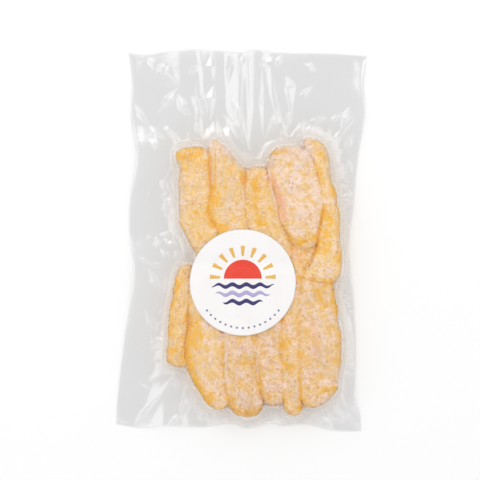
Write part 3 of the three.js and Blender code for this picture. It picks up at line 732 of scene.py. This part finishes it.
def softened(film, even, passes, share):
    """The film with each height moved towards the mean of its four neighbours, pass after pass,
    and then moved towards the even, smooth film, so that only that share of each fold is left,
    and less still of what is broader than a fold."""
    z = film[..., 2]
    for _ in range(passes):
        z[1:-1, 1:-1] = (1 - SOFTENED_SHARE) * z[1:-1, 1:-1] + SOFTENED_SHARE * neighbour_mean(z)
    fold = z - sampled(smooth_film, film[..., 0], film[..., 1])
    fold = fold - BROAD_SHARE * blurred(fold, BROAD)
    x, y = np.moveaxis(even + share * (film[..., :2] - even), -1, 0)
    z = np.maximum(sampled(smooth_film, x, y) + share * fold, sampled(cover, x, y))
    return np.stack([x, y, z], -1)


lattice_x, lattice_y = np.meshgrid(LATTICE_X, LATTICE_Y)
solids = np.concatenate([grid.reshape(-1, 3) for grid, _, _ in finger_points] + [chips.reshape(-1, 3)])
food_top = outermost(solids, np.maximum, 0.0)
food_bottom = outermost(solids, np.minimum, NOTHING)
food = (food_top > 0).astype(float)
near_food = smoothstep(blurred(food, SEAM_REACH), 0, SEAM_SHARE)
margin = edge_level(lattice_x, lattice_y) * (1 - near_food) + SEAM_HEIGHT * near_food
label_level = blurred(food_top ** LABEL["stiffness"], LABEL["bridging"]) ** (1 / LABEL["stiffness"])
least_level = blurred(stretched_over(food_top, LABEL_SWEEPS) + LABEL["lift"], LABEL["smoothing"])
label_level = np.maximum(label_level, least_level)
from_label = np.hypot(lattice_x - LABEL["x"], lattice_y - LABEL["y"])
under_label = from_label < LABEL["radius"] + LABEL["border"]
cover = np.where(under_label, label_level, np.where(food_top > 0, food_top + FILM_CLEAR, 0))
smooth_film = stretched_over(np.maximum(cover, margin), FILM_SWEEPS)

OUTLINE_TURNS = 12
EVENING_ROUNDS = 6
FILM_SEED = 4
MARGIN_SAG = 1.6  # by which the film may hang below the margin's own height
LOWEST_FILM = 0.3
LABEL_PLAY = 0.02
LABEL_HOLDS = 1  # this far outside its rim
PLEATS_FROM = (2, 6)  # outside the label's rim, where pleats begin and where they are whole
FOLD_CEILING = 4.0
THREAD_PULL = (1.0, 0.9)  # the share of what is missing, for stretched and for pressed threads
DIAGONAL_PULL = (0.6, 0.5)
SOFTENING = 4  # passes
SOFTENED_SHARE = 0.6
FOLD_SHARE = 0.35
BROAD = 4  # the reach of what is broader than a fold
BROAD_SHARE = 0.7  # of that which is taken away
FILM_GRIDS = ((88, 58), (175, 115), (345, 227))
# For each grid: rounds, how far each presses down, stiffness, and how uneven the film starts.
RELAXING = ((400, 0.02, 0.25, 0.25), (220, 0.01, 0.3, 0.03), (60, 0.004, 0.3, 0.015))


def within_outline(across, along):
    """The places those shares of the way across and along the outline, found by turns."""
    x = np.zeros_like(across)
    for _ in range(OUTLINE_TURNS):
        y = through(CLOSED_END, x) * (1 - along) + through(MOUTH_END, x) * along
        x = through(LEFT_SIDE, y) * (1 - across) + through(RIGHT_SIDE, y) * across
    return x, y


def evened(shares, lengths, axis):
    """Shares moved halfway to where the given lengths between points would all be alike."""
    travelled = np.cumsum(lengths, axis)
    travelled = np.concatenate([np.zeros_like(np.take(travelled, [0], axis)), travelled], axis)
    lines = zip(np.moveaxis(travelled, axis, -1), np.moveaxis(shares, axis, -1))
    even = np.stack([np.interp(np.linspace(0, line[-1], len(line)), line, share) for line, share in lines])
    return 0.5 * shares + 0.5 * np.moveaxis(even, -1, axis)


def resized(grid, rows, columns):
    """A grid of points with that many rows and columns, on straight lines between the old ones."""
    u = np.linspace(0, grid.shape[1] - 1, columns)
    v = np.linspace(0, grid.shape[0] - 1, rows)
    i = np.minimum(u.astype(int), grid.shape[1] - 2)
    j = np.minimum(v.astype(int), grid.shape[0] - 2)
    u = (u - i)[None, :, None]
    v = (v - j)[:, None, None]
    lower = grid[j][:, i] * (1 - u) + grid[j][:, i + 1] * u
    upper = grid[j + 1][:, i] * (1 - u) + grid[j + 1][:, i + 1] * u
    return lower * (1 - v) + upper * v


def pull(first, second, rest, stretched, pressed):
    """Moves pairs of points towards their resting distance, by one share of what is missing where
    they are too far apart and by another where they are too close."""
    apart = second - first
    length = np.sqrt((apart * apart).sum(-1))
    excess = length - rest
    share = np.where(excess > 0, stretched, pressed)
    move = (0.5 * share * excess / np.maximum(length, 1e-9))[..., None] * apart
    first += move
    second -= move


def paired(points, axis, gap, start, stride):
    """Two views of the points, those from start on by stride along an axis and those a gap on."""
    points = points.swapaxes(0, axis)
    first = points[start:-gap:stride]
    second = points[start + gap::stride]
    count = min(len(first), len(second))
    return first[:count], second[:count]


def relax(film, rounds, press, stiffness):
    """Lets the film find its folds. Each round presses it down, restores the lengths of its
    threads, of their diagonals and, for stiffness, of every second point, and then lifts it
    clear of what it covers. Its edge keeps the outline's x and y, and the label holds it down."""
    rows, columns = film.shape[:2]
    thread = (POUCH_LENGTH / (rows - 1), POUCH_WIDTH / (columns - 1))
    diagonal = np.hypot(*thread)
    edge = [film[0, :, :2].copy(), film[-1, :, :2].copy(), film[:, 0, :2].copy(), film[:, -1, :2].copy()]
    floor = np.maximum(cover, np.maximum(margin - MARGIN_SAG, LOWEST_FILM))
    held = from_label < LABEL["radius"] + LABEL_HOLDS
    ceiling = np.where(held, cover + LABEL_PLAY, smooth_film + FOLD_CEILING)
    for _ in range(rounds):
        film[1:-1, 1:-1, 2] -= press
        for axis in (0, 1):
            for start in (0, 1):
                pull(*paired(film, axis, 1, start, 2), thread[axis], *THREAD_PULL)
        for start in (0, 1):
            lower, upper = paired(film, 0, 1, start, 2)
            pull(lower[:, :-1], upper[:, 1:], diagonal, *DIAGONAL_PULL)
            pull(lower[:, 1:], upper[:, :-1], diagonal, *DIAGONAL_PULL)
        for axis in (0, 1):
            for start in range(4):
                pull(*paired(film, axis, 2, start, 4), 2 * thread[axis], 0.0, stiffness)
        film[0, :, :2], film[-1, :, :2], film[:, 0, :2], film[:, -1, :2] = edge
        low = sampled(floor, film[..., 0], film[..., 1])
        high = sampled(ceiling, film[..., 0], film[..., 1])
        film[..., 2] = np.clip(film[..., 2], low, np.maximum(low, high))
    return film


def relaxed_film(sizes):
    """The upper film: first spread evenly over its smooth shape, then relaxed on finer and finer
    grids, so that wide folds form before narrow ones. Also where its points lay when even."""
    rows, columns = sizes[0]
    across = np.linspace(0, 1, columns)[None, :] * np.ones((rows, 1))
    along = np.linspace(0, 1, rows)[:, None] * np.ones((1, columns))
    for _ in range(EVENING_ROUNDS):
        x, y = within_outline(across, along)
        z = sampled(smooth_film, x, y)
        across = evened(across, np.hypot(np.diff(x, axis=1), np.diff(z, axis=1)), 1)
        along = evened(along, np.hypot(np.diff(y, axis=0), np.diff(z, axis=0)), 0)
    draw = np.random.default_rng(FILM_SEED)
    shares = np.stack([across, along], -1)
    for (rows, columns), (rounds, press, stiffness, unevenness) in zip(sizes, RELAXING):
        fine = resized(shares, rows, columns)
        x, y = within_outline(fine[..., 0], fine[..., 1])
        if (rows, columns) == sizes[0]:
            film = np.stack([x, y, sampled(smooth_film, x, y)], -1)
        else:
            film = resized(film, rows, columns)
        film[..., 2] += draw.normal(0, unevenness, film.shape[:2])
        border = np.zeros(film.shape[:2], bool)
        border[[0, -1]] = border[:, [0, -1]] = True
        film[border, :2] = np.stack([x, y], -1)[border]
        film = relax(film, rounds, press, stiffness)
    return film, np.stack([x, y], -1)


upper_film = softened(*relaxed_film(FILM_GRIDS), SOFTENING, FOLD_SHARE)
film_x, film_y = upper_film[..., 0], upper_film[..., 1]
free = smoothstep(sampled(from_label, film_x, film_y) - LABEL["radius"], *PLEATS_FROM)
upper_film[..., 2] += pleated(film_x, film_y, PLEATS + foot_wrinkles(WRINKLES, WRINKLE_SEED)) * free

# The lower film: flat on the table under the fingers, drawn up against the upper one elsewhere.
BACK_STRIDE = 2
BACK_SWEEPS = 120
FILM_GAP = 0.25
back_cover = np.where(food_bottom < NOTHING, np.maximum(food_bottom - FILM_CLEAR, 0), NOTHING)
back_height = outermost(upper_film.reshape(-1, 3) - (0, 0, FILM_GAP), np.minimum, NOTHING)
back_cover = np.minimum(back_cover, np.where(near_food > 0.5, margin, NOTHING))
lower_field = -stretched_over(-np.clip(np.minimum(back_cover, back_height), 0, NOTHING), BACK_SWEEPS)
lower_film = upper_film[::BACK_STRIDE, ::BACK_STRIDE].copy()
low_x, low_y, low_z = np.moveaxis(lower_film, -1, 0)
lower_film[..., 2] = np.clip(np.minimum(sampled(lower_field, low_x, low_y), low_z - FILM_GAP), 0, None)


def grid_quads(index):
    """Four-sided faces between the neighbouring points of a grid, from the points' indices."""
    return np.stack([index[:-1, :-1], index[:-1, 1:], index[1:, 1:], index[1:, :-1]], -1).reshape(-1, 4)


def pouch_skin(upper, lower):
    """One closed skin: the fine upper grid, the coarse lower one turned over, and along each edge
    a strip of triangles that joins every second upper point to the lower ones."""
    rows, columns = upper.shape[:2]
    low_rows, low_columns = lower.shape[:2]
    top = np.arange(rows * columns).reshape(rows, columns)
    back = rows * columns + np.arange(low_rows * low_columns).reshape(low_rows, low_columns)
    faces = grid_quads(top).tolist() + grid_quads(back)[:, ::-1].tolist()
    edges = (
        (top[0], back[0], True), (top[-1], back[-1], False),
        (top[:, 0], back[:, 0], False), (top[:, -1], back[:, -1], True),
    )
    for fine, coarse, turned in edges:
        strip = np.concatenate([
            np.stack([fine[:-2:2], coarse[:-1], fine[1:-1:2]], -1),
            np.stack([fine[1:-1:2], coarse[:-1], coarse[1:]], -1),
            np.stack([fine[1:-1:2], coarse[1:], fine[2::2]], -1),
        ])
        faces += (strip if turned else strip[:, ::-1]).tolist()
    return np.concatenate([upper.reshape(-1, 3), lower.reshape(-1, 3)]), faces


# Partly film that stands off the food and is cloudy, partly painted light in shaded notches, and the narrow
# strokes are painted highlights along the film's creases over the food.
HAZE_AND_HIGHLIGHTS = (  # where the film is whitened, as strokes like the bare ones
    ((-26, 75), (-13, 79), 5, 0.9), ((-11, 73), (1, 62), 5, 0.9), ((0, 63), (20, 64), 5, 1.0),
    ((-6, 72), (0, 62), 3, 1.0), ((66, 80), (71, 68), 3.4, 0.8),
    ((-47, 78), (-29, 78), 3.4, 1.0), ((28, 75), (50, 77), 5, 0.9), ((52, 82), (65, 85), 4.5, 1.0),
    ((46, 60), (52, 66), 5, 0.5), ((-47, 50), (-46, 20), 2.2, 0.5), ((-8, 40), (-12, 26), 3, 0.5),
    ((0, -126), (8, -132), 4, 0.5), ((40, -112), (44, -128), 3, 0.4), ((60, -86), (66, -104), 4, 0.4),
    ((48, 66), (54, 74), 4, 0.9), ((34, 46), (39, 38), 2, 0.8), ((-22, 74), (-23, 46), 0.9, 0.8),
    ((-18.5, 76), (-19, 50), 0.9, 0.8), ((-14, 70), (-16, 44), 0.9, 0.6), ((-3, 57), (7, 54), 0.9, 0.7),
    ((22, 56), (24, 40), 1, 0.9), ((24, 40), (28, 24), 1, 0.8), ((68, 62), (73, 44), 0.9, 0.6),
    ((75, 26), (77, -4), 0.9, 0.6), ((-46, 18), (-38, -2), 0.9, 0.6), ((-12, -80), (-12, -108), 1, 0.8),
    ((12, -90), (13, -110), 0.9, 0.7), ((-40, -84), (-34, -108), 0.9, 0.5), ((52, -44), (60, -62), 0.9, 0.6),
)
FILM_GREY = linear(128, 125, 126)
FILM_WHITE = linear(250, 247, 243)
FILM_SHINE = 3.3  # a refractive index above a real film's, for highlights as bright as in the photo
FILM_COVERS = (0.13, 0.05)  # how much it hides, in the margin and where it is stretched or clings
WHITE_COVERS = 0.45  # and how much more where it is white
CLINGS_ABOVE = 6  # the height of food that it lies on
CLING_BLUR = 1
BESIDE_BLUR = 3
BESIDE_SHARE = (0.03, 0.3)  # of the blurred food, over which the film beside it gets stretched
SHOULDER_BLUR = 1.2
SHOULDER_RISE = (0.08, 0.35)  # the same, over which the painted light on the shoulders begins
SHOULDER_FALL = (1, 0.82)  # and over which it begins from within
SHOULDER_HEIGHT = (4, 9)
HAZE_SHARE = (0.1, 0.7)


def clear_film():
    """Clear laminate: nearly all see-through, a little grey and cloudy, with a strong shine. Beside
    the food it is stretched thin and clearer. Over the food it lies on the crumbs, and where it
    stands off them, in short thin lines and in places of haze, it is whiter; the lines and the
    narrow haze strokes also stand for painted highlights on its creases, and some haze strokes
    for painted light in shaded notches. On the food's outer shoulders it is whitened too, as
    painted light on the shaded outline."""
    material, nodes, shader, place = new_material("clear film")
    clinging = nodes.attribute("clinging")
    patchy = nodes.step(nodes.noise(place, 55, 2), 0.4, 0.6, 0.6, 1.0)
    # The white is partly cloudy film that stands off the food and partly painted light: the shoulders are
    # painted light, and the haze strokes are both.
    milk_and_light = nodes.math("MAXIMUM", nodes.math("MULTIPLY", nodes.attribute("shoulder"), patchy),
                       nodes.attribute("hazy"))
    milk_and_light = nodes.math("MULTIPLY", milk_and_light, nodes.step(nodes.noise(place, 260, 4, 0.65), 0.35, 0.62, 0.65, 1.0))
    # Thin white lines where the film stands off the crumbs, partly painted highlights on its small creases.
    off_middle = nodes.math("ABSOLUTE", nodes.math("SUBTRACT", nodes.noise(place, 170, 3, 0.55), 0.5))
    broken = nodes.step(nodes.noise(place, 130, 2), 0.48, 0.62)
    lifted_lines_and_glints = nodes.math("MULTIPLY", nodes.step(off_middle, 0.012, 0.05, 1.0, 0.0), broken)
    lifted_lines_and_glints = nodes.math("MULTIPLY", nodes.math("MULTIPLY", lifted_lines_and_glints, clinging), 0.5)
    white = nodes.math("MAXIMUM", milk_and_light, lifted_lines_and_glints)
    nodes.join(nodes.mix(white, FILM_GREY, FILM_WHITE), shader.inputs["Base Color"])
    dull = nodes.math("MULTIPLY_ADD", white, 0.4, nodes.step(clinging, 0.0, 1.0, 0.1, 0.3))
    nodes.join(dull, shader.inputs["Roughness"])
    shader.inputs["IOR"].default_value = FILM_SHINE
    shader.inputs["Specular IOR Level"].default_value = 1.0
    stretched = nodes.math("MAXIMUM", clinging, nodes.attribute("beside"))
    covers = nodes.math("MULTIPLY_ADD", white, WHITE_COVERS, nodes.step(stretched, 0.0, 1.0, *FILM_COVERS))
    nodes.join(covers, shader.inputs["Alpha"])
    ripple = nodes.noise(place, 150, 3)
    bump = nodes.add("ShaderNodeBump", {"Height": ripple, "Strength": 0.14, "Distance": 0.0008})
    nodes.join(bump.outputs["Normal"], shader.inputs["Normal"])
    return material


points, faces = pouch_skin(upper_film, lower_film)
film = make_piece("pouch_film", points, faces)
x, y, z = points.T
on_top = np.arange(len(points)) < upper_film[..., 0].size
within_food = blurred(food, SHOULDER_BLUR)
# Painted light: the film over the food's outer shoulders, 4 to 9 mm up, is whitened to lighten the shaded
# outline.
shoulder = smoothstep(within_food, *SHOULDER_RISE) * smoothstep(within_food, *SHOULDER_FALL)
give_attributes(
    film,
    clinging=sampled(blurred((food_top > CLINGS_ABOVE).astype(float), CLING_BLUR), x, y) * on_top,
    beside=sampled(smoothstep(blurred(food, BESIDE_BLUR), *BESIDE_SHARE), x, y),
    shoulder=sampled(shoulder, x, y) * smoothstep(z, *SHOULDER_HEIGHT) * on_top,
    hazy=stroke_strength(HAZE_AND_HIGHLIGHTS, x, y) * sampled(smoothstep(within_food, *HAZE_SHARE), x, y) * on_top,
)
film.data.materials.append(clear_film())
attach(film, "root")
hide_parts("pouch")


# The label: a round sticker of white coated paper, stuck onto the upper film once the pack was
# sealed. It is a little stiff, so it bridges the grooves between the fingers.
LABEL_RINGS = 48
LABEL_SEGMENTS = 180
PAPER_THICKNESS = 0.16
PAPER_CLEAR = 0.1
PAPER_LOOK = dict(
    Scale=900, Detail=3, High=0.65, Share=1, First=linear(239, 236, 235), Second=linear(241, 239, 238),
    Smoothest=0.45, Roughest=0.55,
)


def on_label(x, y, height):
    """Points at that height above the label's underside."""
    return np.stack([x, y, sampled(label_level, x, y) + PAPER_CLEAR + height], -1)


def label_disc():
    """The two round faces and the thin edge of the label, as rings from the middle of one face
    out over the edge to the middle of the other."""
    radius = LABEL["radius"] * np.concatenate([
        np.linspace(0, 1, LABEL_RINGS), np.linspace(1, 0, LABEL_RINGS),
    ])[:, None]
    height = np.repeat((0, PAPER_THICKNESS), LABEL_RINGS)[:, None]
    angle = 2 * np.pi * np.arange(LABEL_SEGMENTS) / LABEL_SEGMENTS
    x = LABEL["x"] + radius * np.cos(angle)
    y = LABEL["y"] + radius * np.sin(angle)
    return on_label(x, y, height)


def faint_mottle():
    """A group for the paper and its inks: noise of that scale and detail over the place. A smooth
    step up to the high value gives the share of the second colour, and another the roughness."""
    group = bpy.data.node_groups.new("faint mottle", "ShaderNodeTree")
    sockets = {
        "INPUT": dict(Place="Vector", Scale="Float", Detail="Float", High="Float", Share="Float",
                      First="Color", Second="Color", Smoothest="Float", Roughest="Float"),
        "OUTPUT": dict(Colour="Color", Roughness="Float"),
    }
    for side, kinds in sockets.items():
        for name, kind in kinds.items():
            group.interface.new_socket(name, in_out=side, socket_type=f"NodeSocket{kind}")
    nodes = Nodes(group)
    given = nodes.add("NodeGroupInput").outputs
    result = nodes.add("NodeGroupOutput").inputs
    noise = nodes.noise(given["Place"], given["Scale"], given["Detail"])
    share = nodes.step(noise, 0.35, given["High"], 0, given["Share"])
    nodes.join(nodes.mix(share, given["First"], given["Second"]), result["Colour"])
    nodes.join(nodes.step(noise, 0.3, 0.7, given["Smoothest"], given["Roughest"]), result["Roughness"])
    return group


def mottled_finish(name, group, values):
    """A material whose colour and roughness come from the group, with its own values."""
    material, nodes, shader, place = new_material(name)
    finish = nodes.add("ShaderNodeGroup", {"Place": place, **values}, node_tree=group)
    nodes.join(finish.outputs["Colour"], shader.inputs["Base Color"])
    nodes.join(finish.outputs["Roughness"], shader.inputs["Roughness"])
    return material


mottle_group = faint_mottle()
label = make_piece("label_paper", *closed_rings(label_disc()))
label.data.materials.append(mottled_finish("label paper", mottle_group, PAPER_LOOK))
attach(label, "root")
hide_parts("label")


# The label's print, a generic one: a red half sun with gold rays over blue waves, and small dots
# along the lower rim. Each ink is a thin layer on the paper.
INK_THICKNESS = 0.05
INK_SUNK = 0.03  # into the paper
INK_THINNING = 0.12  # how much paler an ink gets in places
INK_LOOK = dict(Scale=1500, Detail=2, High=0.7, Share=0.8, Smoothest=0.4, Roughest=0.5)
INKS = {
    "red": (226, 52, 26), "gold": (232, 178, 72), "navy": (42, 32, 98), "lilac": (172, 162, 206),
    "slate": (112, 116, 146),
}
SUN_RADIUS = 15
SUN_STEPS = (14, 60)  # outwards and around
HORIZON = 3  # above the label's middle
RAYS = 9
RAY_REACH = (18, 26)
RAY_HALF_WIDTH = (0.8, 1.7)
RAY_MARGIN = 0.06  # between the horizon and the lowest rays, in radians
RAY_STEPS = (6, 3)  # along and across
WAVES = ((-2.5, 25), (-9, 22), (-15.5, 16))  # height from the label's middle, half length
WAVE_WIDTH = 3.2
WAVE_HEIGHT = 1.1
WAVE_LENGTH = 11
WAVE_TIP = 0.1  # width left at the ends
WAVE_STEPS = (90, 4)  # along and across
DOTS = 15
DOT_RADIUS = 0.85
DOT_CIRCLE = 36
DOT_ARC = (218, 322)  # degrees
DOT_STEPS = (3, 17)
DOT_TURN = 2 * np.pi - 0.001  # just short of full, so that its two ends don't meet
PINHOLE = 0.02  # at the middle of a disc


def ink_layer(name, patches):
    """One ink: patches of the label's face, each a grid of x and y from its middle, as thin
    closed layers with a top, a bottom and four sides."""
    points, faces, offset = [], [], 0
    for x, y in patches:
        rows, columns = x.shape
        top = on_label(x + LABEL["x"], y + LABEL["y"], PAPER_THICKNESS + INK_THICKNESS)
        bottom = on_label(x + LABEL["x"], y + LABEL["y"], PAPER_THICKNESS - INK_SUNK)
        points += [top.reshape(-1, 3), bottom.reshape(-1, 3)]
        upper = offset + np.arange(rows * columns).reshape(rows, columns)
        lower = upper + rows * columns
        for index, turned in ((upper, False), (lower, True)):
            quads = grid_quads(index)
            faces += (quads[:, ::-1] if turned else quads).tolist()
        rim = [np.concatenate([level[0, :-1], level[:-1, -1], level[-1, :0:-1], level[:0:-1, 0]])
               for level in (upper, lower)]
        faces += np.stack([rim[0], rim[1], np.roll(rim[1], -1), np.roll(rim[0], -1)], -1).tolist()
        offset += 2 * rows * columns
    layer = make_piece(f"print_{name}", np.concatenate(points), faces)
    full = np.array(INKS[name])
    thin = full + INK_THINNING * (255 - full)
    look = dict(First=linear(*full), Second=linear(*thin), **INK_LOOK)
    layer.data.materials.append(mottled_finish(f"{name} ink", mottle_group, look))
    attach(layer, "root")
    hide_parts("label")


def fan(x, y, radius, start, end, rings, steps):
    """A sector of a disc as a grid of radii and clockwise angles, from a pinhole at its middle."""
    reach = np.linspace(PINHOLE, radius, rings)[:, None]
    angle = np.linspace(start, end, steps)[None, :]
    return x + reach * np.cos(angle), y + reach * np.sin(angle)


def ray(angle):
    """A ray as a grid along its length, widening outwards."""
    along = np.linspace(0, 1, RAY_STEPS[0])[:, None]
    reach = RAY_REACH[0] + (RAY_REACH[1] - RAY_REACH[0]) * along
    half = RAY_HALF_WIDTH[0] + (RAY_HALF_WIDTH[1] - RAY_HALF_WIDTH[0]) * along
    aside = half * np.linspace(-1, 1, RAY_STEPS[1])
    x = reach * np.cos(angle) + aside * np.sin(angle)
    y = HORIZON + reach * np.sin(angle) - aside * np.cos(angle)
    return x, y


def wave(height, half):
    """A band whose middle line is a sine, narrowing to its ends as a lens does."""
    x = np.linspace(-half, half, WAVE_STEPS[0])[None, :]
    middle = height + WAVE_HEIGHT * np.sin(2 * np.pi * x / WAVE_LENGTH)
    width = WAVE_WIDTH * (1 - (x / half) ** 4) + WAVE_TIP
    y = middle + 0.5 * width * np.linspace(-1, 1, WAVE_STEPS[1])[:, None]
    return x * np.ones_like(y), y


ink_layer("red", [fan(0, HORIZON, SUN_RADIUS, np.pi, 0, *SUN_STEPS)])
ink_layer("gold", [ray(angle) for angle in np.linspace(RAY_MARGIN, np.pi - RAY_MARGIN, RAYS)])
ink_layer("navy", [wave(*WAVES[0]), wave(*WAVES[2])])
ink_layer("lilac", [wave(*WAVES[1])])
ink_layer("slate", [
    fan(DOT_CIRCLE * np.cos(angle), DOT_CIRCLE * np.sin(angle), DOT_RADIUS, DOT_TURN, 0, *DOT_STEPS)
    for angle in np.radians(np.linspace(*DOT_ARC, DOTS))
])


# The floor, the camera and the lights: a pale matt table that the pack lies on, a camera that looks
# straight down as in the photo, and soft lamps all round. The last two are placed in metres.
FLOOR_HALF = 3000
FLOOR_TONE = 0.92
corners = FLOOR_HALF * np.array([(-1, -1, 0), (1, -1, 0), (1, 1, 0), (-1, 1, 0)])
floor = make_piece("floor", corners, [(0, 1, 2, 3)], smooth=False)
floor_material, _, floor_shader, _ = new_material("pale floor")
floor_shader.inputs["Base Color"].default_value = (FLOOR_TONE, FLOOR_TONE, FLOOR_TONE, 1)
floor_shader.inputs["Roughness"].default_value = 0.9
floor.data.materials.append(floor_material)

FRAME_PIXELS = 480
PX = 0.8 * MM  # on the table, for one pixel
CAMERA_HEIGHT = 1.6
CAMERA_AT = (-1.2 * MM, 0.6 * MM)
SENSOR = 36
camera_data = bpy.data.cameras.new("camera")
camera_data.sensor_width = SENSOR
camera_data.lens = SENSOR * CAMERA_HEIGHT / (FRAME_PIXELS * PX)
camera = in_scene("camera", camera_data)
camera.location = (*CAMERA_AT, CAMERA_HEIGHT)
bpy.context.scene.camera = camera

SOFTBOXES = (  # azimuth and elevation in degrees, size in metres, power in watts
    (115, 62, 0.3, 0.55),
    (0, 60, 0.6, 1.3),
    (60, 60, 0.5, 1.0),
    (120, 60, 0.5, 1.0),
    (180, 60, 0.6, 1.4),
    (240, 60, 0.5, 0.5),
    (300, 60, 0.5, 0.5),
    (60, 26, 1.0, 3.2),
    (120, 26, 1.0, 3.2),
    (195, 26, 0.9, 2.6),
    (345, 26, 0.9, 2.1),
    (270, 26, 0.9, 2.3),
)
BOX_DISTANCE = 1.3
WORLD_STRENGTH = 0.492


def softbox(number, azimuth, elevation, size, power):
    """A square lamp at the boxes' distance from the pack, turned to face it."""
    data = bpy.data.lights.new(f"softbox_{number}", "AREA")
    data.size = size
    data.energy = power
    lamp = in_scene(f"softbox_{number}", data)
    a, e = np.radians((azimuth, elevation))
    lamp.location = BOX_DISTANCE * np.array((np.cos(e) * np.cos(a), np.cos(e) * np.sin(a), np.sin(e)))
    lamp.rotation_euler = (np.pi / 2 - e, 0, a + np.pi / 2)


for number, box in enumerate(SOFTBOXES):
    softbox(number, *box)
world = bpy.data.worlds.new("studio")
world.use_nodes = True
background = world.node_tree.nodes["Background"]
background.inputs["Color"].default_value = (1, 1, 1, 1)
background.inputs["Strength"].default_value = WORLD_STRENGTH
bpy.context.scene.world = world
bpy.context.scene.view_settings.view_transform = "Standard"

bpy.context.view_layer.update()
